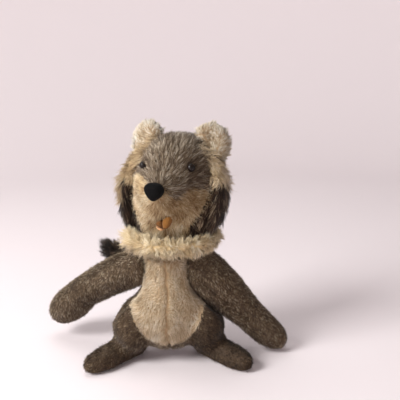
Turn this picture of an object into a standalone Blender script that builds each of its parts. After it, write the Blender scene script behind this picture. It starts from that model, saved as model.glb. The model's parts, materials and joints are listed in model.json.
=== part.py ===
"""A standing plush animal: cream face and belly, grey-brown coat, disc-jointed head and arms.

Metres, +Z up. The toy faces -Y, its own left is +X, and its soles stand on z = 0.
"""

import math

import bmesh
import bpy
from mathutils import Matrix, Vector

# Cloth and fits
PLUSH = 0.0035
GAP = 0.0003
FELT = 0.0025
CARD = 0.0015

# Body, from the floor up: share of the neck's height, half width, depth forward, depth back
NECK_HEIGHT = 0.124
NECK_SIDE = 0.004
BODY_ROWS = (
    (0.08, 0.010, 0.010, 0.012),
    (0.14, 0.027, 0.024, 0.027),
    (0.275, 0.040, 0.034, 0.037),
    (0.42, 0.0450, 0.039, 0.040),
    (0.55, 0.0440, 0.0390, 0.039),
    (0.68, 0.036, 0.034, 0.035),
    (0.81, 0.030, 0.0285, 0.030),
    (0.935, 0.0275, 0.0265, 0.0275),
    (1.065, 0.0265, 0.0255, 0.0265),
)

# Belly panel seen from the front: share of the neck's height, half width
BELLY_ROWS = (
    (0.175, 0.006),
    (0.22, 0.0165),
    (0.32, 0.029),
    (0.46, 0.039),
    (0.57, 0.042),
    (0.69, 0.033),
    (0.85, 0.022),
    (1.065, 0.020),
)

# Leg: a rounded thigh and a long foot turned outward
THIGH_CENTRE = (0.0405, -0.003, 0.041)
THIGH_HALF = (0.0230, 0.035, 0.035)
FOOT_ROWS = (
    (0.028, 0.022, 0.012, 0.004, 0.004),
    (0.032, 0.017, 0.012, 0.012, 0.012),
    (0.042, 0.006, 0.012, 0.0168, 0.0158),
    (0.057, -0.012, 0.012, 0.0168, 0.0150),
    (0.071, -0.029, 0.0115, 0.0170, 0.0145),
    (0.082, -0.042, 0.011, 0.0145, 0.0130),
    (0.0885, -0.050, 0.0105, 0.0090, 0.0090),
    (0.0905, -0.0525, 0.0105, 0.003, 0.003),
)

# Arm along its own axis, from the shoulder pin: distance, half width
ARM_ROWS = (
    (-0.0135, 0.003),
    (-0.0120, 0.0090),
    (-0.0065, 0.0160),
    (0.0035, 0.0200),
    (0.030, 0.0206),
    (0.062, 0.0198),
    (0.094, 0.0195),
    (0.120, 0.0185),
    (0.138, 0.0155),
    (0.1470, 0.0100),
    (0.1500, 0.004),
)
SHOULDER_DROP = 0.017
SHOULDER_SIDE = 0.026
ARM_SPLAY = math.radians(42.5)
ARM_BACK_RIGHT = math.radians(40)
ARM_BACK_LEFT = math.radians(5)
ARM_PLAY = 0.0008

# Head above the neck joint: height, half width, depth forward, depth back, pinch of the front
HEAD_ROWS = (
    (-0.006, 0.0185, 0.026, 0.0110, 0.0),
    (0.004, 0.0195, 0.028, 0.0125, 0.0),
    (0.014, 0.032, 0.034, 0.030, 0.0),
    (0.028, 0.0425, 0.038, 0.041, 0.05),
    (0.044, 0.0455, 0.046, 0.045, 0.12),
    (0.060, 0.0465, 0.056, 0.048, 0.25),
    (0.075, 0.0465, 0.063, 0.050, 0.30),
    (0.088, 0.0460, 0.056, 0.050, 0.20),
    (0.102, 0.0440, 0.044, 0.048, 0.10),
    (0.116, 0.0385, 0.035, 0.043, 0.0),
    (0.127, 0.0280, 0.025, 0.033, 0.0),
    (0.134, 0.0130, 0.012, 0.016, 0.0),
)
HEAD_TURN = math.radians(-20)
HEAD_SET_BACK = 0.008
HEAD_LEAN = 0.08
MASK_FRONT_HEIGHT = 0.083
MASK_REAR_HEIGHT = 0.074
MASK_FRONT_DEPTH = 0.050
FACE_REAR = 0.006

# Ear, upright before it is tilted: height, half width, half thickness
EAR_ROWS = (
    (-0.012, 0.005, 0.003),
    (-0.008, 0.0125, 0.0055),
    (0.004, 0.0185, 0.0062),
    (0.016, 0.0188, 0.0058),
    (0.026, 0.0145, 0.0050),
    (0.0310, 0.006, 0.0035),
    (0.0324, 0.002, 0.002),
)
EAR_PLACE = (0.0360, 0.012, 0.109)
EAR_LEAN = math.radians(-2)
EAR_TURN = math.radians(14)

# Mane and cheek ruff down one side of the head: side, depth, height, half width, half depth
RUFF_ROWS = (
    (0.0370, 0.008, 0.122, 0.004, 0.005),
    (0.0395, 0.008, 0.116, 0.009, 0.012),
    (0.0465, 0.007, 0.100, 0.0115, 0.017),
    (0.0525, 0.006, 0.082, 0.0125, 0.020),
    (0.0545, 0.005, 0.064, 0.0125, 0.021),
    (0.0520, 0.003, 0.046, 0.0120, 0.020),
    (0.0475, 0.001, 0.032, 0.009, 0.015),
    (0.0455, 0.000, 0.027, 0.004, 0.006),
)
RUFF_SPLIT_HEIGHT = 0.070

# Collar round the base of the head
COLLAR_SIDE = 0.0435
COLLAR_DEPTH = 0.0385
COLLAR_THICK = 0.0155
COLLAR_TALL = 0.0120
COLLAR_HEIGHT = 0.0165

# Face fittings, in the head's own frame
NOSE_PLACE = (0.0, -0.0550, 0.0800)
NOSE_HALF = (0.0110, 0.0070, 0.0100)
MOUTH_PLACE = (0.002, -0.0380, 0.0430)
MOUTH_HALF = (0.0095, 0.0060, 0.0080)
EYE_PLACE = (0.0270, -0.0260, 0.1015)
EYE_RADIUS = 0.0045

# Tail behind the body: side, depth, height, half width
TAIL_ROWS = (
    (0.000, -0.004, 0.000, 0.0085),
    (0.000, 0.006, 0.001, 0.0100),
    (-0.006, 0.020, 0.006, 0.0115),
    (-0.020, 0.036, 0.018, 0.0120),
    (-0.042, 0.044, 0.035, 0.0120),
    (-0.061, 0.045, 0.049, 0.0130),
    (-0.074, 0.044, 0.061, 0.0115),
    (-0.080, 0.043, 0.068, 0.0065),
    (-0.082, 0.0425, 0.071, 0.002),
)
TAIL_HEIGHT = 0.044
TAIL_SEAT = 0.0355
TAIL_SEAT_RADIUS = 0.0122
TAIL_TIP_HEIGHT = 0.044

# Disc joints
DISC_RADIUS_SHOULDER = 0.0100
DISC_RADIUS_NECK = 0.0120
DISC = 0.0030
WASHER_RADIUS = 0.0060
WASHER = 0.0008
PIN_WIRE = 0.0006
PIN_SPREAD = 0.0009
PIN_CURL = 0.0024
PIN_HOLE = 0.0020
POCKET_PLAY = 0.0007

# Resolution of the forms
BODY_SIDES = 16
HEAD_SIDES = 18
LIMB_SIDES = 10
RUFF_SIDES = 8
COLLAR_SIDES = 20
ROOM_SIDES = 18
DISC_SIDES = 12
BORE_SIDES = 10
BORE_TURN = math.radians(7)
FAR = 0.4

MATERIALS = {
    "coat_plush": ((0.16, 0.12, 0.09), 0.95, 0.0),
    "cream_plush": ((0.62, 0.47, 0.30), 0.95, 0.0),
    "long_cream_pile": ((0.75, 0.62, 0.40), 0.95, 0.0),
    "long_dark_pile": ((0.06, 0.045, 0.038), 0.95, 0.0),
    "black_pile": ((0.015, 0.013, 0.012), 0.95, 0.0),
    "black_stitching": ((0.012, 0.012, 0.014), 0.8, 0.0),
    "tan_felt": ((0.42, 0.17, 0.04), 0.95, 0.0),
    "dark_glass": ((0.03, 0.015, 0.008), 0.08, 0.0),
    "stuffing": ((0.55, 0.45, 0.32), 1.0, 0.0),
    "fibre_board": ((0.30, 0.19, 0.10), 0.8, 0.0),
    "steel": ((0.55, 0.55, 0.56), 0.35, 1.0),
}


def clear_scene():
    for obj in list(bpy.data.objects):
        bpy.data.objects.remove(obj, do_unlink=True)


def material(name):
    found = bpy.data.materials.get(name)
    if found:
        return found
    colour, roughness, metallic = MATERIALS[name]
    made = bpy.data.materials.new(name)
    made.use_nodes = True
    shader = made.node_tree.nodes["Principled BSDF"]
    shader.inputs["Base Color"].default_value = (*colour, 1.0)
    shader.inputs["Roughness"].default_value = roughness
    shader.inputs["Metallic"].default_value = metallic
    return made


def add_object(name, mesh):
    obj = bpy.data.objects.new(name, mesh)
    bpy.context.scene.collection.objects.link(obj)
    return obj


def curve_rows(rows, steps):
    """Rows along a smooth curve through the given ones, with this many steps between each pair."""
    points = [Vector(row) for row in rows]
    ends = [2 * points[0] - points[1], *points, 2 * points[-1] - points[-2]]
    found = []
    for before, start, end, after in zip(ends, ends[1:], ends[2:], ends[3:]):
        for step in range(steps):
            t = step / steps
            found.append(
                0.5
                * (
                    2 * start
                    + (end - before) * t
                    + (2 * before - 5 * start + 4 * end - after) * t**2
                    + (3 * start - before - 3 * end + after) * t**3
                )
            )
    return [*found, points[-1]]


def solid_from_rings(name, rings, closed_loop=False):
    """A closed body with a skin of triangles over the rings and a fan over each end."""
    shape = bmesh.new()
    loops = [[shape.verts.new(point) for point in ring] for ring in rings]
    pairs = list(zip(loops, loops[1:]))
    if closed_loop:
        pairs.append((loops[-1], loops[0]))
    for lower, upper in pairs:
        for index in range(len(lower)):
            after = (index + 1) % len(lower)
            shape.faces.new((lower[index], lower[after], upper[after]))
            shape.faces.new((lower[index], upper[after], upper[index]))
    if not closed_loop:
        for loop in (loops[0], loops[-1]):
            centre = sum((vert.co for vert in loop), Vector()) / len(loop)
            pole = shape.verts.new(centre)
            for index in range(len(loop)):
                shape.faces.new((loop[index], loop[(index + 1) % len(loop)], pole))
    bmesh.ops.recalc_face_normals(shape, faces=shape.faces)
    mesh = bpy.data.meshes.new(name)
    shape.to_mesh(mesh)
    shape.free()
    return add_object(name, mesh)


def shrink(obj, depth):
    """Moves the surface inward by this depth, or outward where it is negative."""
    shape = bmesh.new()
    shape.from_mesh(obj.data)
    shape.normal_update()
    moved = [vert.co - vert.normal * depth for vert in shape.verts]
    for vert, place in zip(shape.verts, moved):
        vert.co = place
    shape.to_mesh(obj.data)
    shape.free()
    return obj


def upright_form(name, rows, sides, inset=0.0, centre=(0.0, 0.0, 0.0), steps=1):
    """A swelling form of level rings: height, half width, depth forward, depth back, and any pinch."""
    rings = []
    for row in curve_rows(rows, steps):
        height, wide, forward, back = row[0], row[1], row[2], row[3]
        pinch = row[4] if len(row) > 4 else 0.0
        ring = []
        for index in range(sides):
            angle = 2 * math.pi * (index + 0.5) / sides
            depth = math.sin(angle)
            reach = back if depth > 0 else forward
            narrow = 1 - pinch * min(depth, 0) ** 2
            ring.append(
                Vector(
                    (
                        centre[0] + wide * math.cos(angle) * narrow,
                        centre[1] + reach * depth,
                        centre[2] + height,
                    )
                )
            )
        rings.append(ring)
    return shrink(solid_from_rings(name, rings), inset)


def spine_form(name, rows, sides, inset=0.0, steps=1):
    """A form of rings square to a curved spine: place, half width and half height."""
    rows = curve_rows(rows, steps)
    places = [Vector(row[:3]) for row in rows]
    rings = []
    for index, row in enumerate(rows):
        ahead = places[min(index + 1, len(places) - 1)]
        behind = places[max(index - 1, 0)]
        along = (ahead - behind).normalized()
        hint = Vector((0, 0, 1)) if abs(along.z) < 0.8 else Vector((0, 1, 0))
        across = along.cross(hint).normalized()
        up = across.cross(along).normalized()
        wide = row[3]
        tall = row[4] if len(row) > 4 else row[3]
        ring = []
        for side in range(sides):
            angle = 2 * math.pi * (side + 0.5) / sides
            ring.append(places[index] + across * wide * math.cos(angle) + up * tall * math.sin(angle))
        rings.append(ring)
    return shrink(solid_from_rings(name, rings), inset)


def ellipsoid(name, centre, half, sides=16, rings=9, inset=0.0):
    rows = []
    for index in range(rings):
        polar = math.pi * (index + 0.5) / rings
        height = -half[2] * math.cos(polar)
        size = math.sin(polar)
        rows.append((height, half[0] * size, half[1] * size, half[1] * size))
    return upright_form(name, rows, sides, inset, centre)


def box(name, low, high):
    shape = bmesh.new()
    bmesh.ops.create_cube(shape, size=1.0)
    for vert in shape.verts:
        vert.co = Vector([low[k] if vert.co[k] < 0 else high[k] for k in range(3)])
    mesh = bpy.data.meshes.new(name)
    shape.to_mesh(mesh)
    shape.free()
    return add_object(name, mesh)


def turned(name, profile, frame, sides=DISC_SIDES):
    """A body turned about the frame's own Z axis from a profile of radius and height, first to last."""
    rings = []
    for radius, height in profile:
        ring = []
        for index in range(sides):
            angle = 2 * math.pi * index / sides
            ring.append(frame @ Vector((radius * math.cos(angle), radius * math.sin(angle), height)))
        rings.append(ring)
    return solid_from_rings(name, rings)


def turned_ring(name, outer, inner, low, high, frame, sides=DISC_SIDES):
    """A flat ring about the frame's own Z axis."""
    rings = []
    for index in range(sides):
        angle = 2 * math.pi * index / sides
        way = Vector((math.cos(angle), math.sin(angle), 0))
        corners = ((inner, low), (outer, low), (outer, high), (inner, high))
        rings.append([frame @ (way * radius + Vector((0, 0, height))) for radius, height in corners])
    return solid_from_rings(name, rings, closed_loop=True)


def prism(name, outline, frame, depth):
    """An outline in the frame's XY plane, extruded from -depth to depth along its Z axis."""
    rings = []
    for height in (-depth, depth):
        rings.append([frame @ Vector((x, y, height)) for x, y in outline])
    return solid_from_rings(name, rings)


def boolean(obj, tool, operation):
    """Applies one exact Boolean and removes the tool."""
    modifier = obj.modifiers.new(operation, "BOOLEAN")
    modifier.operation = operation
    modifier.solver = "EXACT"
    modifier.object = tool
    graph = bpy.context.evaluated_depsgraph_get()
    mesh = bpy.data.meshes.new_from_object(obj.evaluated_get(graph))
    obj.modifiers.clear()
    obj.data = mesh
    bpy.data.objects.remove(tool, do_unlink=True)
    return obj


def cut(obj, tool):
    return boolean(obj, tool, "DIFFERENCE")


def keep(obj, tool):
    return boolean(obj, tool, "INTERSECT")


def join(obj, tool):
    return boolean(obj, tool, "UNION")


def copy_of(obj, name):
    return add_object(name, obj.data.copy())


def finish(obj, name, material_name, pivot, lean=0.0):
    """Leans the piece sideways with height, names it, hangs it on its pivot and shades it smooth."""
    obj.data.transform(Matrix.Shear("XY", 4, (lean, 0)))
    shape = bmesh.new()
    shape.from_mesh(obj.data)
    bmesh.ops.dissolve_degenerate(shape, dist=1e-6, edges=shape.edges)
    bmesh.ops.triangulate(shape, faces=shape.faces)
    shape.to_mesh(obj.data)
    shape.free()
    obj.name = name
    obj.data.name = name
    obj.data.materials.clear()
    obj.data.materials.append(material(material_name))
    obj.data.shade_smooth()
    obj.data.set_sharp_from_angle(angle=math.radians(40))
    obj.parent = pivot
    return obj


def pivot_at(name, place, parent=None, turn=None):
    empty = bpy.data.objects.new(name, None)
    bpy.context.scene.collection.objects.link(empty)
    empty.parent = parent
    empty.matrix_local = Matrix.Translation(place) @ (turn or Matrix.Identity(4))
    return empty


def side_frame(side, place):
    """A frame at this place whose Z axis points to this side of the toy."""
    return Matrix.Translation(place) @ Matrix.Rotation(side * math.pi / 2, 4, "Y")


def shoulder_place(side):
    return Vector((side * SHOULDER_SIDE, 0, NECK_HEIGHT - SHOULDER_DROP))


# Disc joints. Along the joint's axis the contact plane is 0, the body is below and the limb above.


def disc_face():
    return GAP / 2 + PLUSH + GAP


def washer_face():
    return disc_face() + DISC + GAP


def pin_face():
    return washer_face() + WASHER + GAP


def pin_path():
    """A folded wire: one curled leg, its shank, the eye, the other shank and its curl."""
    reach = pin_face() + PIN_WIRE
    curl_turns = 5
    eye_turns = 8
    leg = []
    for step in range(curl_turns + 1):
        angle = math.pi * (1 - step / curl_turns)
        centre = PIN_SPREAD + PIN_CURL
        leg.append((centre - PIN_CURL * math.cos(angle), -reach - PIN_CURL * math.sin(angle)))
    start = [(x, z) for x, z in leg]
    eye = []
    eye_radius = PIN_CURL
    opening = math.asin(PIN_SPREAD / eye_radius)
    centre_height = reach + eye_radius * math.cos(opening)
    for step in range(eye_turns + 1):
        angle = opening + (2 * math.pi - 2 * opening) * step / eye_turns
        eye.append((eye_radius * math.sin(angle), centre_height - eye_radius * math.cos(angle)))
    mirrored = [(-x, z) for x, z in reversed(start)]
    return start, eye, mirrored


def pin(name, frame):
    """The cotter pin: wire swept along its folded path, curls below and eye above."""
    start, eye, mirrored = pin_path()
    path = [*start, *eye, *mirrored]
    points = [Vector((x, 0, z)) for x, z in path]
    rings = []
    for index, point in enumerate(points):
        ahead = points[min(index + 1, len(points) - 1)]
        behind = points[max(index - 1, 0)]
        along = (ahead - behind).normalized()
        flat = Vector((0, 1, 0))
        across = along.cross(flat)
        ring = []
        for side in range(6):
            angle = math.pi * side / 3
            offset = across * math.cos(angle) + flat * math.sin(angle)
            ring.append(frame @ (point + offset * PIN_WIRE))
        rings.append(ring)
    return solid_from_rings(name, rings)


def pin_depth():
    return pin_face() + 2 * PIN_WIRE + 2 * PIN_CURL + POCKET_PLAY


def pockets(name, radius, frame, way):
    """The stepped room in the stuffing for a disc, its washer and the pin's end."""
    wide = radius + POCKET_PLAY
    narrow = WASHER_RADIUS + POCKET_PLAY
    profile = (
        (wide, -way * GAP),
        (wide, way * (pin_face() + POCKET_PLAY)),
        (narrow, way * (pin_face() + POCKET_PLAY)),
        (narrow, way * pin_depth()),
    )
    return turned(name, profile, frame)


def pin_bore(name, frame):
    """The pin's hole through cloth, turned a little so that its corners miss the edges of the seats."""
    askew = frame @ Matrix.Rotation(BORE_TURN, 4, "Z")
    return turned(name, ((PIN_HOLE, -pin_depth()), (PIN_HOLE, pin_depth())), askew, BORE_SIDES)


def disc_joint(label, radius, frame, body_pivot, limb_pivot, limb_frame):
    """Discs and washers on both sides of one joint, and the pin that clamps them."""
    for way, part, pivot, place in (
        (-1, "body", body_pivot, frame),
        (1, "limb", limb_pivot, limb_frame),
    ):
        low, high = sorted((way * disc_face(), way * (disc_face() + DISC)))
        disc = turned_ring("disc", radius, PIN_HOLE, low, high, place)
        finish(disc, f"{label}_disc_{part}", "fibre_board", pivot)
        low, high = sorted((way * washer_face(), way * (washer_face() + WASHER)))
        washer = turned_ring("washer", WASHER_RADIUS, PIN_HOLE, low, high, place)
        finish(washer, f"{label}_washer_{part}", "steel", pivot)
    finish(pin("pin", frame), f"{label}_cotter_pin", "steel", body_pivot)


# Body


def arm_room(side):
    """The cone of room that an arm sweeps as it swings."""
    slope = math.tan(ARM_SPLAY)
    radius = max(half for _, half in ARM_ROWS) / math.cos(ARM_SPLAY) + ARM_PLAY
    length = ARM_ROWS[-1][0] / 2
    profile = (
        (radius, -GAP / 2),
        (radius + slope * length, length),
    )
    return turned("arm_room", profile, side_frame(side, shoulder_place(side)), ROOM_SIDES)


def body_rows(rows):
    """Rows whose heights are worked out from the neck's height."""
    return [(share * NECK_HEIGHT, *sizes) for share, *sizes in rows]


def body_form(inset=0.0):
    """The body with its flat seats for the neck, the shoulders and the tail."""
    form = upright_form("body", body_rows(BODY_ROWS), BODY_SIDES, inset)
    cut(form, box("top", (-FAR, -FAR, NECK_HEIGHT - GAP / 2 - inset), (FAR, FAR, FAR)))
    for side in (-1, 1):
        room = arm_room(side)
        room.data.transform(Matrix.Translation((-side * inset, 0, 0)))
        cut(form, room)
    seat = Matrix.Translation((0, TAIL_SEAT - inset, TAIL_HEIGHT)) @ Matrix.Rotation(-math.pi / 2, 4, "X")
    seat = seat @ Matrix.Rotation(BORE_TURN, 4, "Z")
    radius = TAIL_SEAT_RADIUS + inset
    cut(form, turned("tail_seat", ((radius, 0), (radius, FAR)), seat))
    return form


def belly_prism(grow):
    """The belly's outline as a block through the front half of the body."""
    half = [(wide + grow, height) for height, wide in body_rows(BELLY_ROWS)]
    half[0] = (half[0][0], half[0][1] - grow)
    edge = curve_rows(half, 2)
    outline = [(point.x, point.y) for point in edge]
    outline += [(-point.x, point.y) for point in reversed(edge)]
    frame = Matrix.Translation((0, -FAR, 0)) @ Matrix.Rotation(math.pi / 2, 4, "X")
    return prism("belly_block", outline, frame, FAR)


def half_space(side, gap=GAP / 2):
    low, high = sorted((side * gap, side * FAR))
    return box("half", (low, -FAR, -FAR), (high, FAR, FAR))


def build_body(root):
    neck = Matrix.Translation((NECK_SIDE, 0, NECK_HEIGHT))
    skin = cut(body_form(), body_form(PLUSH))
    cut(skin, pin_bore("bore", neck))
    for side in (-1, 1):
        cut(skin, pin_bore("bore", side_frame(side, shoulder_place(side))))
    belly = keep(copy_of(skin, "belly"), belly_prism(0.0))
    coat = cut(copy_of(skin, "coat"), belly_prism(GAP))
    for side, label in ((-1, "right"), (1, "left")):
        finish(keep(copy_of(belly, "panel"), half_space(side)), f"belly_panel_{label}", "cream_plush", root)
        finish(keep(copy_of(coat, "panel"), half_space(side)), f"side_panel_{label}", "coat_plush", root)
    for spare in (skin, belly, coat):
        bpy.data.objects.remove(spare, do_unlink=True)
    filling = body_form(PLUSH + GAP)
    cut(filling, pockets("pocket", DISC_RADIUS_NECK, neck, -1))
    for side in (-1, 1):
        cut(filling, pockets("pocket", DISC_RADIUS_SHOULDER, side_frame(side, shoulder_place(side)), -1))
    finish(filling, "body_stuffing", "stuffing", root)


# Legs


def mirrored_rows(rows, side):
    return [(side * row[0], *row[1:]) for row in rows]


def leg_form(side, inset, floor):
    """Thigh and foot in one, cut off at this height and clear of the body and the arm."""
    centre = (side * THIGH_CENTRE[0], THIGH_CENTRE[1], THIGH_CENTRE[2])
    form = ellipsoid("leg", centre, THIGH_HALF, sides=12, rings=7, inset=inset)
    join(form, spine_form("foot", mirrored_rows(FOOT_ROWS, side), LIMB_SIDES, inset))
    cut(form, box("floor", (-FAR, -FAR, -FAR), (FAR, FAR, floor)))
    room = arm_room(side)
    room.data.transform(Matrix.Translation((0, 0, -inset)))
    cut(form, room)
    return form


def body_block(grow):
    return shrink(upright_form("body_block", body_rows(BODY_ROWS), BODY_SIDES), -grow)


def leg_split(side, outer):
    """The half of space on the outer or inner side of the leg's upright seam plane."""
    heel = Vector((side * FOOT_ROWS[0][0], FOOT_ROWS[0][1], 0))
    toe = Vector((side * FOOT_ROWS[-1][0], FOOT_ROWS[-1][1], 0))
    along = (toe - heel).normalized()
    across = Vector((0, 0, 1)).cross(along) * side * (1 if outer else -1)
    turn = Matrix((across, along, Vector((0, 0, 1)))).transposed().to_4x4()
    half = box("half", (GAP / 2, -FAR, -FAR), (FAR, FAR, FAR))
    frame = Matrix.Translation(heel) @ turn
    half.data.transform(frame)
    if frame.determinant() < 0:
        half.data.flip_normals()
    return half


def build_leg(side, label, root):
    sole_top = FELT
    skin_floor = sole_top + GAP
    sole = leg_form(side, 0.0, 0.0)
    cut(sole, box("above", (-FAR, -FAR, sole_top), (FAR, FAR, FAR)))
    finish(sole, f"sole_{label}", "coat_plush", root)
    skin = cut(leg_form(side, 0.0, skin_floor), leg_form(side, PLUSH, -FAR / 2))
    cut(skin, body_block(GAP))
    for outer, part in ((True, "outer"), (False, "inner")):
        panel = keep(copy_of(skin, "panel"), leg_split(side, outer))
        finish(panel, f"leg_{label}_{part}_panel", "coat_plush", root)
    bpy.data.objects.remove(skin, do_unlink=True)
    insole = leg_form(side, PLUSH + GAP, skin_floor)
    cut(insole, box("above", (-FAR, -FAR, skin_floor + CARD), (FAR, FAR, FAR)))
    cut(insole, body_block(GAP))
    finish(insole, f"insole_{label}", "fibre_board", root)
    filling = leg_form(side, PLUSH + GAP, skin_floor + CARD + GAP)
    cut(filling, body_block(GAP))
    finish(filling, f"leg_{label}_stuffing", "stuffing", root)


# Arms, modelled hanging straight down about the shoulder pin and then swung by their pivot


def arm_form(side, inset=0.0):
    along = Vector((side * math.cos(ARM_SPLAY), 0, -math.sin(ARM_SPLAY)))
    rows = [(*(along * distance), half) for distance, half in ARM_ROWS]
    form = spine_form("arm", rows, LIMB_SIDES, inset)
    low, high = sorted((-side * FAR, side * (GAP / 2 + inset)))
    return cut(form, box("seat", (low, -FAR, -FAR), (high, FAR, FAR)))


def arm_half(side, outer):
    """The half of space above or below the arm's seam plane, which holds its axis."""
    low, high = (GAP / 2, FAR) if outer else (-FAR, -GAP / 2)
    half = box("half", (-FAR, -FAR, low), (FAR, FAR, high))
    half.data.transform(Matrix.Rotation(side * ARM_SPLAY, 4, "Y"))
    return half


def build_arm(side, label, back, root):
    turn = Matrix.Rotation(back, 4, "X")
    pivot = pivot_at(f"arm_{label}_pivot", shoulder_place(side), root, turn)
    frame = side_frame(side, (0, 0, 0))
    skin = cut(arm_form(side), arm_form(side, PLUSH))
    cut(skin, pin_bore("bore", frame))
    for outer, part in ((True, "outer"), (False, "inner")):
        panel = keep(copy_of(skin, "panel"), arm_half(side, outer))
        finish(panel, f"arm_{label}_{part}_panel", "coat_plush", pivot)
    bpy.data.objects.remove(skin, do_unlink=True)
    filling = arm_form(side, PLUSH + GAP)
    cut(filling, pockets("pocket", DISC_RADIUS_SHOULDER, frame, 1))
    finish(filling, f"arm_{label}_stuffing", "stuffing", pivot)
    body_side = side_frame(side, shoulder_place(side))
    disc_joint(f"shoulder_{label}", DISC_RADIUS_SHOULDER, body_side, root, pivot, frame)


# Head, modelled facing forward about the neck pin and then turned by its pivot


def head_form(inset=0.0):
    centre = (0, HEAD_SET_BACK, 0)
    form = upright_form("head", HEAD_ROWS, HEAD_SIDES, inset, centre)
    return cut(form, box("base", (-FAR, -FAR, -FAR), (FAR, FAR, GAP / 2 + inset)))


def head_block(grow=GAP):
    return shrink(upright_form("head_block", HEAD_ROWS, HEAD_SIDES, 0.0, (0, HEAD_SET_BACK, 0)), -grow)


def profile_block(outline):
    """A side-view outline of depth and height, as a block right across the head."""
    frame = Matrix(((0, 0, 1, 0), (1, 0, 0, 0), (0, 1, 0, 0), (0, 0, 0, 1)))
    return prism("profile", outline, frame, FAR)


def mask_block(gap):
    outline = (
        (-FAR, MASK_FRONT_HEIGHT + gap),
        (-MASK_FRONT_DEPTH, MASK_FRONT_HEIGHT + gap),
        (FACE_REAR - gap, MASK_REAR_HEIGHT + gap),
        (FACE_REAR - gap, FAR),
        (-FAR, FAR),
    )
    return profile_block(outline)


def rear_block(gap):
    return box("rear", (-FAR, FACE_REAR + gap, -FAR), (FAR, FAR, FAR))


def eye_place(side):
    return (side * EYE_PLACE[0], EYE_PLACE[1], EYE_PLACE[2])


def eye_ball(side, grow=0.0):
    size = EYE_RADIUS + grow
    return ellipsoid("eye", eye_place(side), (size, size, size), sides=12, rings=7)


def build_head_cloth(pivot):
    skin = cut(head_form(), head_form(PLUSH))
    cut(skin, pin_bore("bore", Matrix.Identity(4)))
    for side in (-1, 1):
        cut(skin, eye_ball(side, GAP))
    forehead = keep(copy_of(skin, "panel"), mask_block(GAP / 2))
    finish(forehead, "forehead_gusset", "coat_plush", pivot, HEAD_LEAN)
    face = cut(copy_of(skin, "face"), mask_block(-GAP / 2))
    cut(face, rear_block(-GAP / 2))
    rear = keep(skin, rear_block(GAP / 2))
    for side, label in ((-1, "right"), (1, "left")):
        finish(keep(copy_of(face, "panel"), half_space(side)), f"face_panel_{label}", "cream_plush", pivot, HEAD_LEAN)
        finish(keep(copy_of(rear, "panel"), half_space(side)), f"head_back_{label}", "coat_plush", pivot, HEAD_LEAN)
    for spare in (face, rear):
        bpy.data.objects.remove(spare, do_unlink=True)
    filling = head_form(PLUSH + GAP)
    cut(filling, pockets("pocket", DISC_RADIUS_NECK, Matrix.Identity(4), 1))
    for side in (-1, 1):
        cut(filling, eye_ball(side, GAP))
    finish(filling, "head_stuffing", "stuffing", pivot, HEAD_LEAN)


def ear_frame(side):
    place = Vector((side * EAR_PLACE[0], EAR_PLACE[1], EAR_PLACE[2]))
    lean = Matrix.Rotation(side * EAR_LEAN, 4, "Y")
    turn = Matrix.Rotation(side * EAR_TURN, 4, "Z")
    return Matrix.Translation(place) @ lean @ turn


def build_ear(side, label, pivot):
    rows = [(height, wide, thick, thick) for height, wide, thick in EAR_ROWS]
    for part, low, high, cloth in (
        ("lining", -FAR, -GAP / 2, "cream_plush"),
        ("back", GAP / 2, FAR, "coat_plush"),
    ):
        ear = upright_form("ear", rows, 14)
        keep(ear, box("half", (-FAR, low, -FAR), (FAR, high, FAR)))
        ear.data.transform(ear_frame(side))
        cut(ear, head_block())
        finish(ear, f"ear_{label}_{part}", cloth, pivot, HEAD_LEAN)


def ear_block(side):
    rows = [(height, wide, thick, thick) for height, wide, thick in EAR_ROWS]
    block = upright_form("ear_block", rows, 14, -GAP)
    block.data.transform(ear_frame(side))
    return block


def collar_form(name, grow=0.0):
    rings = []
    for index in range(COLLAR_SIDES):
        angle = 2 * math.pi * index / COLLAR_SIDES
        way = Vector((math.cos(angle), math.sin(angle), 0))
        centre = Vector((COLLAR_SIDE * way.x, HEAD_SET_BACK / 2 + COLLAR_DEPTH * way.y, COLLAR_HEIGHT))
        ring = []
        for side in range(8):
            turn = math.pi * side / 4
            thick = (COLLAR_THICK + grow) * math.cos(turn)
            tall = (COLLAR_TALL + grow) * math.sin(turn)
            ring.append(centre + way * thick + Vector((0, 0, tall)))
        rings.append(ring)
    return solid_from_rings(name, rings, closed_loop=True)


def build_ruffs(pivot):
    collar = cut(collar_form("collar"), head_block())
    finish(collar, "collar", "long_cream_pile", pivot, HEAD_LEAN)
    for side, label in ((-1, "right"), (1, "left")):
        for part, low, high, cloth in (
            ("mane", RUFF_SPLIT_HEIGHT + GAP / 2, FAR, "long_cream_pile"),
            ("cheek_ruff", -FAR, RUFF_SPLIT_HEIGHT - GAP / 2, "long_dark_pile"),
        ):
            ruff = spine_form("ruff", mirrored_rows(RUFF_ROWS, side), RUFF_SIDES)
            keep(ruff, box("part", (-FAR, -FAR, low), (FAR, FAR, high)))
            cut(ruff, head_block())
            if part == "mane":
                cut(ruff, ear_block(side))
            else:
                cut(ruff, collar_form("collar_block", 2 * GAP))
            finish(ruff, f"{part}_{label}", cloth, pivot, HEAD_LEAN)


def build_face_fittings(pivot):
    nose = cut(ellipsoid("nose", NOSE_PLACE, NOSE_HALF, 14, 8), head_block())
    finish(nose, "nose", "black_stitching", pivot, HEAD_LEAN)
    mouth = cut(ellipsoid("mouth", MOUTH_PLACE, MOUTH_HALF, 12, 7), head_block())
    finish(mouth, "mouth_felt", "tan_felt", pivot, HEAD_LEAN)
    for side, label in ((-1, "right"), (1, "left")):
        finish(eye_ball(side), f"eye_{label}", "dark_glass", pivot, HEAD_LEAN)


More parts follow.
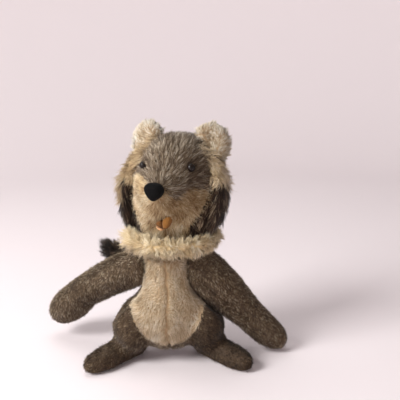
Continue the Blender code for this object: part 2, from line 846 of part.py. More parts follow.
def build_head(root):
    place = Vector((NECK_SIDE, 0, NECK_HEIGHT))
    pivot = pivot_at("head_pivot", place, root, Matrix.Rotation(HEAD_TURN, 4, "Z"))
    build_head_cloth(pivot)
    for side, label in ((-1, "right"), (1, "left")):
        build_ear(side, label, pivot)
    build_ruffs(pivot)
    build_face_fittings(pivot)
    disc_joint("neck", DISC_RADIUS_NECK, Matrix.Translation(place), root, pivot, Matrix.Identity(4))


# Tail, sewn to a flat seat on the back


def tail_form(inset=0.0):
    form = spine_form("tail", TAIL_ROWS, LIMB_SIDES, inset)
    return cut(form, box("seat", (-FAR, -FAR, -FAR), (FAR, GAP + inset, FAR)))


def build_tail(root):
    pivot = pivot_at("tail_pivot", (0, TAIL_SEAT, TAIL_HEIGHT), root)
    opening = Matrix.Rotation(-math.pi / 2, 4, "X")
    skin = cut(tail_form(), tail_form(PLUSH))
    cut(skin, turned("opening", ((PIN_HOLE, -0.01), (PIN_HOLE, 0.01)), opening))
    for part, low, high, cloth in (
        ("tail_sleeve", -FAR, TAIL_TIP_HEIGHT - GAP / 2, "coat_plush"),
        ("tail_tip", TAIL_TIP_HEIGHT + GAP / 2, FAR, "black_pile"),
    ):
        piece = keep(copy_of(skin, "piece"), box("part", (-FAR, -FAR, low), (FAR, FAR, high)))
        finish(piece, part, cloth, pivot)
    bpy.data.objects.remove(skin, do_unlink=True)
    finish(tail_form(PLUSH + GAP), "tail_stuffing", "stuffing", pivot)


def centre_on_floor(root):
    """Moves the whole toy so that the middle of its box stands over the origin."""
    bpy.context.view_layer.update()
    corners = []
    for obj in bpy.data.objects:
        if obj.type == "MESH":
            corners += [obj.matrix_world @ vert.co for vert in obj.data.vertices]
    for axis in range(2):
        values = [corner[axis] for corner in corners]
        root.location[axis] = -(min(values) + max(values)) / 2


def main():
    clear_scene()
    root = pivot_at("toy", (0, 0, 0))
    build_body(root)
    for side, label, back in ((-1, "right", ARM_BACK_RIGHT), (1, "left", ARM_BACK_LEFT)):
        build_leg(side, label, root)
        build_arm(side, label, back, root)
    build_head(root)
    build_tail(root)
    centre_on_floor(root)


main()
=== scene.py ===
"""The looks of a standing plush animal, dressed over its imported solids.

Every stuffed piece is a smooth padded form that carries a pile of modelled strands.
Metres, +Z up. The toy faces -Y, its own left is +X, and its head is turned to its right.
"""

import json
import math

import bmesh
import bpy
import numpy as np
from mathutils import Matrix, Vector
from mathutils.bvhtree import BVHTree
from mathutils.kdtree import KDTree


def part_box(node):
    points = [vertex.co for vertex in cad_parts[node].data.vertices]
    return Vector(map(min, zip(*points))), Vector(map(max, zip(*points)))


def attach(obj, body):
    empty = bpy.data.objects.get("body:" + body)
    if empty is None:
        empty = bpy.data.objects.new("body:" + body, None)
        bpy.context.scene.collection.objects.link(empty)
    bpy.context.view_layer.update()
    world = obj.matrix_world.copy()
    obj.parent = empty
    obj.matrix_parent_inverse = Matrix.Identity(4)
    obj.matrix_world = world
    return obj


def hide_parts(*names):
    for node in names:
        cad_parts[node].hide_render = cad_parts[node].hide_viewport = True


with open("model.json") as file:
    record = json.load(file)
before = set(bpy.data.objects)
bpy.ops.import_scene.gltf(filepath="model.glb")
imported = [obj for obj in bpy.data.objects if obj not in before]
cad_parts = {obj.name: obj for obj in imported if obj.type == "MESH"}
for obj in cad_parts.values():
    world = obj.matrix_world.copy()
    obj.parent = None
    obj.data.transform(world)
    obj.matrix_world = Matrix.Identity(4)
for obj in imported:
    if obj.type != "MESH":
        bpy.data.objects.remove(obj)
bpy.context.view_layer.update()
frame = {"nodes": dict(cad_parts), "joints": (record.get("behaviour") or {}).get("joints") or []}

NODES = frame["nodes"]
JOINTS = {joint["name"]: Vector(joint["pos_m"]) for joint in frame["joints"]}
SIDES = (("right", -1), ("left", 1))
UP = np.array((0.0, 0.0, 1.0))
FRONT = np.array((0.0, -1.0, 0.0))

# Padded forms: how far each is drawn in under its pile, and how full it is stuffed
INSETS = {"body": 0.0024, "arm": 0.0022, "head": 0.0030, "ear": -0.0030, "collar": 0.0050, "tail": 0.0035}
FILLS = {"body": 0.85, "arm": 0.85, "head": 0.85, "ear": 0.6, "collar": 0.5, "tail": 0.7}
VOXEL = 0.0020
RELAX = 0.5
SMOOTH_ROUNDS = 10
LAST_ROUNDS = 2
BODY_CREASE_ROUNDS = 70
HEAD_CREASE_ROUNDS = 45
FLOOR_CLEAR = 0.0003
FOOT_EDGE = 0.006

# Plugs that close the pin holes at the joints
PLUG_RADIUS = 0.0036
PLUG_DEPTH = 0.0040

# Single strands
RING = 3
TAPER = 0.55
SIDE_TURN = 0.3
SHADE_OUTWARD = 0.5
SHADE_UPRIGHT = 0.9
TIP_ALONG = 0.6
TIP_UPRIGHT = 0.8
MAP_STEP = 0.006
MAP_MARGIN = 0.002
ROOT_DEPTH = 0.0006

# Pile as a whole
STRAY_SHARE = 0.6
BEND_SHARE = 0.5
PULL_CURVE = 0.7
LENGTH_BY_STRAND = 0.6
LENGTH_BY_TUFT = 0.5
LENGTH_LIMITS = (0.45, 1.5)
TONE_BY_TUFT = 0.5
TONE_BY_STRAND = 0.7
TONE_MARGIN = 0.01
RADIUS_LEAST = 0.75
RADIUS_RANGE = 0.5
FLECK_SHARE = 0.42
MOTTLE_WAVES = 9
WAVE_LEAST = 0.6
WAVE_RANGE = 0.8
SWIRL_SIZE = 0.022
PATCH_SIZE = 0.016
FRINGE = 0.0008
FACE_FRINGE = 0.0015
NUDGE = 0.01
SLIGHT = 1e-5

# Surfaces
PILE_ROUGHNESS = 0.85
PILE_SHEEN = 0.15
PILE_SPECULAR = 0.25
MIDDLE_LIFT = 0.35
GRAIN_DETAIL = 6.0
RELIEF_STRENGTH = 0.5
GROUND_ROUGHNESS = 0.95
FINE_WEAVE = 900
OPEN_WEAVE = 700

# Belly and its middle seam
BELLY_BOTTOM = 0.026
BELLY_WIDEST = 0.086
BELLY_TOP = 0.152
BELLY_HALF = 0.0415
BELLY_TOP_HALF = 0.0235
BELLY_REAR = -0.026
BELLY_FACING = 0.5
BELLY_HEIGHT = 0.058
BELLY_TALL = 0.036
BELLY_SWELL = 0.0050
BELLY_TURN = 0.35
BELLY_REACH = 0.07
BELLY_EDGE = 0.006
BELLY_EDGE_LENGTH = 0.0036
BELLY_TINT = 0.10
SEAM_HALF = 0.0003
SEAM_WANDER = 0.0010
SEAM_WAVE = 0.011
SEAM_RIPPLE = 0.0041
SEAM_GROOVE = 0.0014
SEAM_GROOVE_WIDTH = 0.0025
SEAM_SHADE = 0.36
SEAM_SHADE_WIDTH = 0.0014
PARTING = 1.6
PARTING_WIDTH = 0.004

# Legs
# The leg pile is darkened, and the toy's left leg, away from the key lamp, is darkened further by painted
# shade
LEG_TINT_AND_PAINTED_SHADE = {"right": -0.18, "left": -0.36}
TOE_HEIGHT = 0.005
SOLE_FACING = -0.6
SOLE_TOP = 0.008

# Arms: fullness above and below, from the shoulder to the hand
ARM_SHARES = (0.0, 0.15, 0.35, 0.60, 0.80, 1.0)
ARM_UPPER = {
    "right": (0.0060, 0.0088, 0.0105, 0.0090, 0.0070, 0.0044),
    "left": (0.0110, 0.0110, 0.0080, 0.0000, -0.0020, -0.0015),
}
ARM_LOWER = {
    "right": (0.0020, -0.0020, -0.0045, -0.0050, 0.0025, 0.0044),
    "left": (0.0060, 0.0045, 0.0037, 0.0016, 0.0040, 0.0020),
}
ARM_TOP_EDGE = 0.7
ARM_STRETCH = {"right": 0.0075, "left": -0.0030}
FOLD_SHARE = 0.61
FOLD_WIDTH = 0.035
FOLD_DEPTH = 0.0022
ARM_SEAM_DEPTH = 0.0012
ARM_SEAM_WIDTH = 0.09
ARM_SEAM_END = 0.75
ARM_CREASE_SHADE = 0.16
NAP_ALONG = 0.3
NAP_ACROSS = 0.5

# Head, which is turned about the neck joint
HEAD_PANELS = ("forehead_gusset", "face_panel_right", "face_panel_left", "head_back_right", "head_back_left")
HEAD_TURN = math.radians(-20)
HEAD_AXES = Matrix.Rotation(HEAD_TURN, 3, "Z")
HEAD_FRONT = np.array(HEAD_AXES @ Vector((0, -1, 0)))
HEAD_LEFT = np.array(HEAD_AXES @ Vector((1, 0, 0)))
HEAD_LEAN = 0.08
HEAD_BACK_WAY = (0, 0.3, -1)

# Dark mask over the forehead
MASK_FRONT = (-0.050, 0.083)
MASK_REAR = (0.006, 0.074)
MASK_HEIGHTS = (0.083, 0.090, 0.100, 0.112, 0.122, 0.130)
MASK_RIGHT_WIDTHS = (0.046, 0.042, 0.036, 0.030, 0.024, 0.018)
MASK_LEFT_WIDTHS = (0.049, 0.046, 0.041, 0.035, 0.027, 0.020)
MASK_CLIMB = 0.011
MASK_CLIMB_START = 0.008
MASK_CLIMB_WIDTH = 0.014
MASK_DIP = 0.010
MASK_DIP_PLACE = 0.018
MASK_DIP_WIDTH = 0.007

# Pale face, with places across and up from the neck joint
FACE_HEIGHTS = (0.028, 0.032, 0.041, 0.055, 0.070, 0.085)
FACE_HALF_WIDTHS = (0.021, 0.023, 0.030, 0.039, 0.047, 0.056)
FACE_TINT = 0.08
# A real brown stain right of the muzzle, deepened by painted shade, and painted shade under the nose
BROWN_CHEEK = (0.022, 0.066)
BROWN_CHEEK_SIZE = (0.016, 0.020)
BROWN_CHEEK_SHADE = 0.34
UNDER_NOSE = (-0.002, 0.052)
UNDER_NOSE_SIZE = (0.010, 0.010)
UNDER_NOSE_SHADE = 0.28
CHIN_SEAM = 0.0045
CHIN_SEAM_TOP = 0.037
CHIN_SEAM_WIDTH = 0.0013
CHIN_SEAM_SHADE = 0.4
CHIN_HEIGHTS = (0.026, 0.044)
CHIN_LENGTH = 0.0095

# Mane, dark ruffs and collar
RUFFS = ("mane_right", "mane_left", "cheek_ruff_right", "cheek_ruff_left")
RUFF_INSETS = {
    "mane_right": 0.0000,
    "mane_left": 0.0040,
    "cheek_ruff_right": 0.0015,
    "cheek_ruff_left": 0.0042,
}
DARK_TOP = 0.084
DARK_REAR = 0.012
RIM_ASIDE = 0.0568
RIM_BOTTOM = 0.058
RUFF_INWARD = 0.45
RUFF_FORWARD = 0.25
RUFF_TINT = {"right": -0.32, "left": -0.20}
JAW_TINT = -0.20
MANE_LEFTWARD = {"right": -0.40, "left": 0.10}
MANE_FORWARD = 0.05
# Painted shade on the toy's right mane, which the key lamp lights strongly, and painted light on its left
# mane
MANE_PAINTED_LIGHT_AND_SHADE = {"right": -0.30, "left": 0.10}
MANE_HEIGHTS = (0.080, 0.105)
MANE_TOP_LENGTH = 0.0065
BAND_LEFTWARD = {"right": -0.5, "left": 1.0}
BAND_DOWN = 0.5
COLLAR_TINT = -0.16
COLLAR_OUTWARD = 0.3
COLLAR_LEAN = 0.68
COLLAR_TOP_RISE = 0.62
COLLAR_TOP_EDGE = 1.3
COLLAR_TOP_DEPTH = 0.004
COLLAR_TOP_LENGTH = 0.0060
COLLAR_THIN_PLACES = (0.0, 0.045)
COLLAR_THIN_SHARES = (1.0, 0.75)

# Ears
# Both ears are lifted in tone, the toy's right ear more, as painted light on the side towards the key lamp
EAR_TINT_AND_PAINTED_LIGHT = {"right": 0.25, "left": 0.14}
EAR_CUP = 0.0040
EAR_CUP_REACH = 0.011
EAR_HOLLOW_FORWARD = 0.004
EAR_HOLLOW_RISE = 0.005
EAR_ROOT_DROP = 0.03
EAR_SHADE = 0.30
EAR_SHADE_REACH = 0.009

# Tail
TAIL_TIP_WAY = (-0.6, 0, 0.8)

# Face fittings, outlines in millimetres across and up
EYE_CLEARING = 0.0014
EYE_SINK = 0.0042
EYE_SHADE = 0.5
EYE_SHADE_REACH = 0.008
CORNER_CUT = 0.25
CORNER_ROUNDS = 3
PILLOW_FLATNESS = 2.6
PILLOW_ROUNDNESS = 0.55
THREAD_PITCH = 0.00075
THREAD_RIDGE = 0.0002
THREAD_EDGE = 0.97
NOSE_DEPTH = 0.0070
NOSE_BACK = 0.005
NOSE_RISE = 0.0010
NOSE_COMB_DEPTH = 0.012
NOSE_OUTLINE = (
    (-10.6, 1.6), (-9.6, 7.0), (-5.3, 9.0), (4.7, 9.0), (9.6, 5.1),
    (10.2, -0.4), (6.4, -5.8), (0.0, -10.5), (-5.6, -6.8),
)
MOUTH_SHIFT = (0.0028, 0.0024, 0.0008)
MOUTH_BACK = 0.006
LARGE_LOBE = ((-1.6, 3.4), (3.6, 8.8), (9.4, 8.6), (9.4, 2.2), (5.8, -4.6), (-0.6, -7.8))
SMALL_LOBE = ((-9.4, -1.0), (-6.0, 2.8), (-1.0, 3.8), (-0.2, -4.8), (-5.0, -5.0))
PALE_LIP = ((-9.0, -3.0), (-4.8, -4.4), (-0.2, -6.2), (-1.2, -8.6), (-6.8, -6.8))

# Camera, fitted to the photograph's 400 by 400 frame
FRAME_PIXELS = 400
TARGET_PIXEL = (167, 257)
TARGET_HEIGHT = 0.118
METRES_PER_PIXEL = 0.00112
CAMERA_DISTANCE = 0.85
CAMERA_AZIMUTH = math.radians(3)
CAMERA_ELEVATION = math.radians(18)
CAMERA_ROLL = math.radians(-2)
SENSOR = 36.0

# Pale floor that sweeps up all round, and its light: name, place, size and power of each lamp
SWEEP_START = 1.0
SWEEP_RADIUS = 0.7
SWEEP_TOP = 1.0
SWEEP_STEPS = 16
SWEEP_AROUND = 96
WORLD_STRENGTH = 0.26
LAMP_TARGET = (0, 0, 0.12)
LAMPS = (
    ("key", (-1.1, -0.8, 1.1), 0.7, 33.0),
    ("fill", (0.3, -1.4, 0.5), 1.2, 0.8),
    ("top", (-0.3, 0.4, 1.5), 1.0, 7.0),
)


# Materials


def new_material(name, roughness, metallic=0.0, sheen=0.0):
    material = bpy.data.materials.new(name)
    material.use_nodes = True
    shader = material.node_tree.nodes["Principled BSDF"]
    shader.inputs["Roughness"].default_value = roughness
    shader.inputs["Metallic"].default_value = metallic
    shader.inputs["Sheen Weight"].default_value = sheen
    return material, material.node_tree, shader


def ramp_node(tree, colours):
    """A colour ramp with the given linear colours spread evenly along it."""
    ramp = tree.nodes.new("ShaderNodeValToRGB")
    elements = ramp.color_ramp.elements
    while len(elements) < len(colours):
        elements.new(0.5)
    for index, colour in enumerate(colours):
        elements[index].position = index / (len(colours) - 1)
        elements[index].color = (*colour, 1.0)
    return ramp


def linear(red, green, blue):
    """A linear colour from its sRGB value in 0 to 255."""
    values = []
    for value in (red, green, blue):
        share = value / 255
        values.append(share / 12.92 if share <= 0.04045 else ((share + 0.055) / 1.055) ** 2.4)
    return tuple(values)


def blend(*colours):
    """The linear colours of a ramp."""
    return tuple(linear(*colour) for colour in colours)


def pile_material(name, tones, root_shade):
    """Fur: the tone runs across the strands' map and the shade runs from root to tip."""
    material, tree, shader = new_material(name, PILE_ROUGHNESS, sheen=PILE_SHEEN)
    shader.inputs["Specular IOR Level"].default_value = PILE_SPECULAR
    uv = tree.nodes.new("ShaderNodeUVMap")
    uv.uv_map = "OFBake"
    split = tree.nodes.new("ShaderNodeSeparateXYZ")
    tree.links.new(uv.outputs["UV"], split.inputs["Vector"])
    tone = ramp_node(tree, tones)
    tree.links.new(split.outputs["X"], tone.inputs["Fac"])
    middle_shade = root_shade + MIDDLE_LIFT * (1 - root_shade)
    shade = ramp_node(tree, ((root_shade,) * 3, (middle_shade,) * 3, (1.0,) * 3))
    tree.links.new(split.outputs["Y"], shade.inputs["Fac"])
    mix = tree.nodes.new("ShaderNodeMix")
    mix.data_type = "RGBA"
    mix.blend_type = "MULTIPLY"
    mix.inputs["Factor"].default_value = 1.0
    tree.links.new(tone.outputs["Color"], mix.inputs["A"])
    tree.links.new(shade.outputs["Color"], mix.inputs["B"])
    tree.links.new(mix.outputs["Result"], shader.inputs["Base Color"])
    return material


def grain_material(name, tones, scale, roughness, metallic=0.0, relief=0.0, stretch=(1, 1, 1), sheen=0.0):
    """A surface whose colour and relief follow a fine noise in object space."""
    material, tree, shader = new_material(name, roughness, metallic, sheen)
    place = tree.nodes.new("ShaderNodeTexCoord")
    mapping = tree.nodes.new("ShaderNodeMapping")
    mapping.inputs["Scale"].default_value = stretch
    tree.links.new(place.outputs["Object"], mapping.inputs["Vector"])
    grain = tree.nodes.new("ShaderNodeTexNoise")
    grain.inputs["Scale"].default_value = scale
    grain.inputs["Detail"].default_value = GRAIN_DETAIL
    tree.links.new(mapping.outputs["Vector"], grain.inputs["Vector"])
    ramp = ramp_node(tree, tones)
    tree.links.new(grain.outputs["Fac"], ramp.inputs["Fac"])
    tree.links.new(ramp.outputs["Color"], shader.inputs["Base Color"])
    if relief:
        raised = tree.nodes.new("ShaderNodeBump")
        raised.inputs["Strength"].default_value = RELIEF_STRENGTH
        raised.inputs["Distance"].default_value = relief
        tree.links.new(grain.outputs["Fac"], raised.inputs["Height"])
        tree.links.new(raised.outputs["Normal"], shader.inputs["Normal"])
    return material


def ground_material(name, dark, pale, weave):
    """The woven cloth under a pile, which shows where the strands part."""
    return grain_material(name, blend(dark, pale), weave, GROUND_ROUGHNESS)


def set_specular(material, level):
    material.node_tree.nodes["Principled BSDF"].inputs["Specular IOR Level"].default_value = level


COAT_TONES = blend((41, 26, 13), (99, 76, 50), (151, 126, 93), (242, 225, 193))
MASK_TONES = blend((54, 38, 26), (118, 96, 73), (164, 142, 114), (244, 230, 207))
CREAM_TONES = blend((174, 145, 108), (216, 191, 155), (236, 215, 182), (250, 238, 214))
EAR_TONES = blend((136, 112, 84), (202, 180, 147), (238, 221, 192), (255, 248, 232))
FACE_TONES = blend((112, 79, 45), (184, 150, 103), (234, 210, 166), (252, 239, 209))
LONG_CREAM_TONES = blend((190, 161, 118), (228, 205, 164), (242, 224, 188), (252, 241, 216))
MANE_TONES = blend((140, 113, 78), (196, 169, 128), (224, 202, 166), (250, 237, 210))
DARK_TONES = blend((28, 16, 8), (50, 32, 19), (90, 66, 45), (226, 204, 170))
BLACK_TONES = blend((20, 15, 12), (44, 34, 26), (78, 63, 50), (138, 117, 98))

FUR = {
    "coat_plush": pile_material("coat_pile", COAT_TONES, 0.25),
    "mask": pile_material("mask_pile", MASK_TONES, 0.30),
    "cream_plush": pile_material("cream_pile", CREAM_TONES, 0.55),
    "face": pile_material("face_pile", FACE_TONES, 0.52),
    "ear": pile_material("ear_pile", EAR_TONES, 0.50),
    "long_cream_pile": pile_material("long_cream_pile", LONG_CREAM_TONES, 0.66),
    "mane": pile_material("mane_pile", MANE_TONES, 0.60),
    "long_dark_pile": pile_material("long_dark_pile", DARK_TONES, 0.45),
    "black_pile": pile_material("black_pile", BLACK_TONES, 0.5),
}
GROUND = {
    "coat_plush": ground_material("coat_ground", (44, 34, 27), (96, 78, 60), FINE_WEAVE),
    # The cream cloth is darkened to the tone of shaded pile, as painted shade where it shows between strands
    "cream_plush": ground_material("cream_ground", (130, 104, 74), (182, 154, 118), FINE_WEAVE),
    "long_cream_pile": ground_material("long_cream_ground", (170, 142, 100), (226, 202, 156), OPEN_WEAVE),
    "long_dark_pile": ground_material("dark_ground", (26, 20, 17), (62, 49, 40), OPEN_WEAVE),
    "black_pile": ground_material("black_ground", (10, 9, 9), (26, 23, 22), OPEN_WEAVE),
}
MOUTH_LOBES = (
    ("mouth_large_lobe", LARGE_LOBE, 0.0046, blend((86, 52, 12), (138, 90, 27))),
    ("mouth_small_lobe", SMALL_LOBE, 0.0040, blend((72, 41, 8), (114, 70, 17))),
    ("mouth_lip", PALE_LIP, 0.0034, blend((170, 122, 80), (214, 168, 124))),
)


# Mesh helpers


def add_object(name, data):
    added = bpy.data.objects.new(name, data)
    bpy.context.scene.collection.objects.link(added)
    return added


def mesh_from(shape, name):
    """The mesh of a bmesh, which is used up."""
    mesh = bpy.data.meshes.new(name)
    shape.to_mesh(mesh)
    shape.free()
    return mesh


def add_piece(name, mesh, body, slot, *materials):
    """Adds a piece of the toy that moves with a body and wears the given materials."""
    piece = add_object(name, mesh)
    mesh.materials.clear()
    for material in materials:
        mesh.materials.append(material)
    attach(piece, body)
    return piece


def points_of(mesh):
    points = np.empty(len(mesh.vertices) * 3)
    mesh.vertices.foreach_get("co", points)
    return points.reshape(-1, 3)


def normals_of(mesh):
    normals = np.empty(len(mesh.vertices) * 3)
    mesh.vertex_normals.foreach_get("vector", normals)
    return normals.reshape(-1, 3)


def set_points(mesh, points):
    mesh.vertices.foreach_set("co", points.ravel())
    mesh.update()


def unit(vectors):
    return vectors / np.maximum(np.linalg.norm(vectors, axis=-1, keepdims=True), 1e-9)


def bump(distance, width):
    """1 at no distance, and fading smoothly to 0 beyond about this width."""
    return np.exp(-((distance / width) ** 2))


def smooth(mesh, rounds):
    """Relaxes every point towards the mean of its neighbours."""
    edges = np.empty(len(mesh.edges) * 2, int)
    mesh.edges.foreach_get("vertices", edges)
    first, second = edges.reshape(-1, 2).T
    points = points_of(mesh)
    count = len(points)
    degree = np.bincount(first, minlength=count) + np.bincount(second, minlength=count)
    for _ in range(rounds):
        total = np.empty_like(points)
        for axis in range(3):
            total[:, axis] = np.bincount(first, points[second, axis], count)
            total[:, axis] += np.bincount(second, points[first, axis], count)
        points = (1 - RELAX) * points + RELAX * total / degree[:, None]
    set_points(mesh, points)


def remeshed(shape, name):
    """One closed skin round all the bodies of a bmesh."""
    mesh = mesh_from(shape, name)
    rough = add_object(name, mesh)
    modifier = rough.modifiers.new("Remesh", "REMESH")
    modifier.mode = "VOXEL"
    modifier.voxel_size = VOXEL
    graph = bpy.context.evaluated_depsgraph_get()
    skin = bpy.data.meshes.new_from_object(rough.evaluated_get(graph))
    bpy.data.objects.remove(rough, do_unlink=True)
    bpy.data.meshes.remove(mesh)
    skin.name = name
    return skin


class Zones:
    """Tells which of some solids lies nearest to a point."""

    def __init__(self, names):
        points, faces, self.owners = [], [], []
        for name in names:
            mesh = NODES[name].data
            start = len(points)
            points += [vert.co.copy() for vert in mesh.vertices]
            for face in mesh.polygons:
                faces.append([start + index for index in face.vertices])
                self.owners.append(name)
        self.tree = BVHTree.FromPolygons(points, faces)

    def nearest(self, points):
        return np.array([self.owners[self.tree.find_nearest(Vector(point))[2]] for point in points])


# Padded forms under the pile


def fill_creases(mesh, rounds):
    """Rounds out inward folds and leaves outward curves as they are."""
    before, normals = points_of(mesh), normals_of(mesh)
    smooth(mesh, rounds)
    rise = ((points_of(mesh) - before) * normals).sum(1)
    set_points(mesh, before + normals * np.maximum(rise, 0)[:, None])
    smooth(mesh, SMOOTH_ROUNDS // 2)


def padded_form(name, body, slot, nodes, kind, plugs=(), grounds=None, zone=None, floor=False, creases=0,
                swell=None):
    """A stuffed form: the skin of its solids, smoothed and drawn in by the depth of its pile."""
    inset, fill = INSETS[kind], FILLS[kind]
    shape = bmesh.new()
    for node in nodes:
        shape.from_mesh(NODES[node].data)
    for place in plugs:
        hole = Matrix.Translation(place)
        bmesh.ops.create_icosphere(shape, subdivisions=2, radius=PLUG_RADIUS, matrix=hole)
    mesh = remeshed(shape, name)
    smooth(mesh, SMOOTH_ROUNDS)
    if creases:
        fill_creases(mesh, creases)
    points, normals = points_of(mesh), normals_of(mesh)
    depth = np.full(len(points), inset)
    if floor:
        depth *= np.clip((points[:, 2] - FLOOR_CLEAR) / FOOT_EDGE, 0, 1)
    if swell:
        depth -= swell(points, normals)
    points -= normals * depth[:, None]
    if floor:
        points[:, 2] = np.maximum(points[:, 2], FLOOR_CLEAR)
    set_points(mesh, points)
    smooth(mesh, LAST_ROUNDS)
    mesh.shade_smooth()
    grounds = grounds or {slot: ()}
    piece = add_piece(name, mesh, body, slot, *[GROUND[each] for each in grounds])
    if zone:
        paint_zones(mesh, grounds, zone)
    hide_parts(*nodes)
    return piece


def paint_zones(mesh, grounds, zone):
    """Gives each face the cloth of the zone it lies in."""
    centres, normals = (np.empty(len(mesh.polygons) * 3) for _ in range(2))
    mesh.polygons.foreach_get("center", centres)
    mesh.polygons.foreach_get("normal", normals)
    names = zone(centres.reshape(-1, 3), normals.reshape(-1, 3))
    index = np.zeros(len(names), int)
    for number, inside in enumerate(grounds.values()):
        index[np.isin(names, inside)] = number
    mesh.polygons.foreach_set("material_index", index)


# Pile


def scatter(mesh, density, rng):
    """Random roots over a form with their normals, this many to a square metre."""
    mesh.calc_loop_triangles()
    corners = np.empty(len(mesh.loop_triangles) * 3, int)
    mesh.loop_triangles.foreach_get("vertices", corners)
    corners = corners.reshape(-1, 3)
    points, normals = points_of(mesh)[corners], normals_of(mesh)[corners]
    area = np.linalg.norm(np.cross(points[:, 1] - points[:, 0], points[:, 2] - points[:, 0]), axis=1) / 2
    count = int(area.sum() * density)
    chosen = rng.choice(len(area), count, p=area / area.sum())
    first, second = np.sqrt(rng.random(count)), rng.random(count)
    weight = np.stack((1 - first, first * (1 - second), first * second), axis=1)[:, :, None]
    return (points[chosen] * weight).sum(1), unit((normals[chosen] * weight).sum(1))


def clumps(roots, tuft, rng):
    """For each root, the number of the tuft it belongs to and that tuft's middle root."""
    count = max(1, len(roots) // tuft)
    middles = rng.choice(len(roots), count, replace=False)
    tree = KDTree(count)
    for number, middle in enumerate(middles):
        tree.insert(roots[middle], number)
    tree.balance()
    number = np.array([tree.find(root)[1] for root in roots])
    return number, middles[number]


def flat_to(normals, ways):
    """Directions laid flat on the surface."""
    return unit(ways - normals * (ways * normals).sum(1)[:, None])


def strand_triangles(steps):
    """Corners of the triangles round one strand, which ends in a point."""
    triangles = []
    for step in range(steps - 1):
        low, high = RING * step, RING * (step + 1)
        for side in range(RING):
            after = (side + 1) % RING
            triangles.append((low + side, low + after, high + after))
            triangles.append((low + side, high + after, high + side))
    last = RING * (steps - 1)
    for side in range(RING):
        triangles.append((last + side, last + (side + 1) % RING, RING * steps))
    return np.array(triangles)


def strand_mesh(name, paths, radius, tones, normals):
    """Three-sided tapering strands along their paths, with a map of tone by place along the strand."""
    count, steps = paths.shape[0], paths.shape[1] - 1
    runs = unit(paths[:, 1:] - paths[:, :-1])
    aside = unit(np.cross(runs[:, 0], normals + SIDE_TURN * np.roll(normals, 1, axis=1)))
    across = np.cross(runs[:, 0], aside)
    per_strand = RING * steps + 1
    points, shades = (np.empty((count, per_strand, 3)) for _ in range(2))
    map_u, map_v = (np.empty((count, per_strand)) for _ in range(2))
    for step in range(steps):
        width = radius * (1 - TAPER * step / steps)
        for side in range(RING):
            angle = 2 * math.pi * side / RING
            offset = aside * math.cos(angle) + across * math.sin(angle)
            index = RING * step + side
            points[:, index] = paths[:, step] + offset * width[:, None]
            shades[:, index] = unit(SHADE_OUTWARD * offset + SHADE_UPRIGHT * normals)
            map_u[:, index] = tones + (side - 1) * MAP_STEP
            map_v[:, index] = step / steps
    points[:, -1] = paths[:, -1]
    points[:, :, 2] = np.maximum(points[:, :, 2], 0)
    shades[:, -1] = unit(TIP_ALONG * runs[:, -1] + TIP_UPRIGHT * normals)
    map_u[:, -1] = tones
    map_v[:, -1] = 1.0
    starts = np.arange(count)[:, None, None] * per_strand
    corners = (starts + strand_triangles(steps)[None]).reshape(-1)
    mesh = bpy.data.meshes.new(name)
    mesh.vertices.add(count * per_strand)
    mesh.vertices.foreach_set("co", points.ravel())
    mesh.loops.add(len(corners))
    mesh.loops.foreach_set("vertex_index", corners)
    mesh.polygons.add(len(corners) // 3)
    mesh.polygons.foreach_set("loop_start", np.arange(0, len(corners), 3))
    mesh.update(calc_edges=True)
    layer = mesh.uv_layers.new(name="OFBake")
    uv = np.stack((map_u.ravel()[corners], map_v.ravel()[corners]), axis=1)
    layer.uv.foreach_set("vector", np.clip(uv, MAP_MARGIN, 1 - MAP_MARGIN).ravel())
    mesh.shade_smooth()
    custom = mesh.attributes.new("custom_normal", "FLOAT_VECTOR", "POINT")
    custom.data.foreach_set("vector", shades.ravel())
    return mesh


def mottle(points, size, rng):
    """A soft random field between about -1 and 1 with patches of this size."""
    field = np.zeros(len(points))
    for _ in range(MOTTLE_WAVES):
        way = unit(rng.normal(size=3))
        wave = way * 2 * math.pi / (size * (WAVE_LEAST + WAVE_RANGE * rng.random()))
        field += np.sin(points @ wave + rng.random() * 2 * math.pi)
    return field / math.sqrt(MOTTLE_WAVES)


def turned(ways, normals, angles):
    """Flat directions turned about the surface normal."""
    return ways * np.cos(angles)[:, None] + np.cross(normals, ways) * np.sin(angles)[:, None]


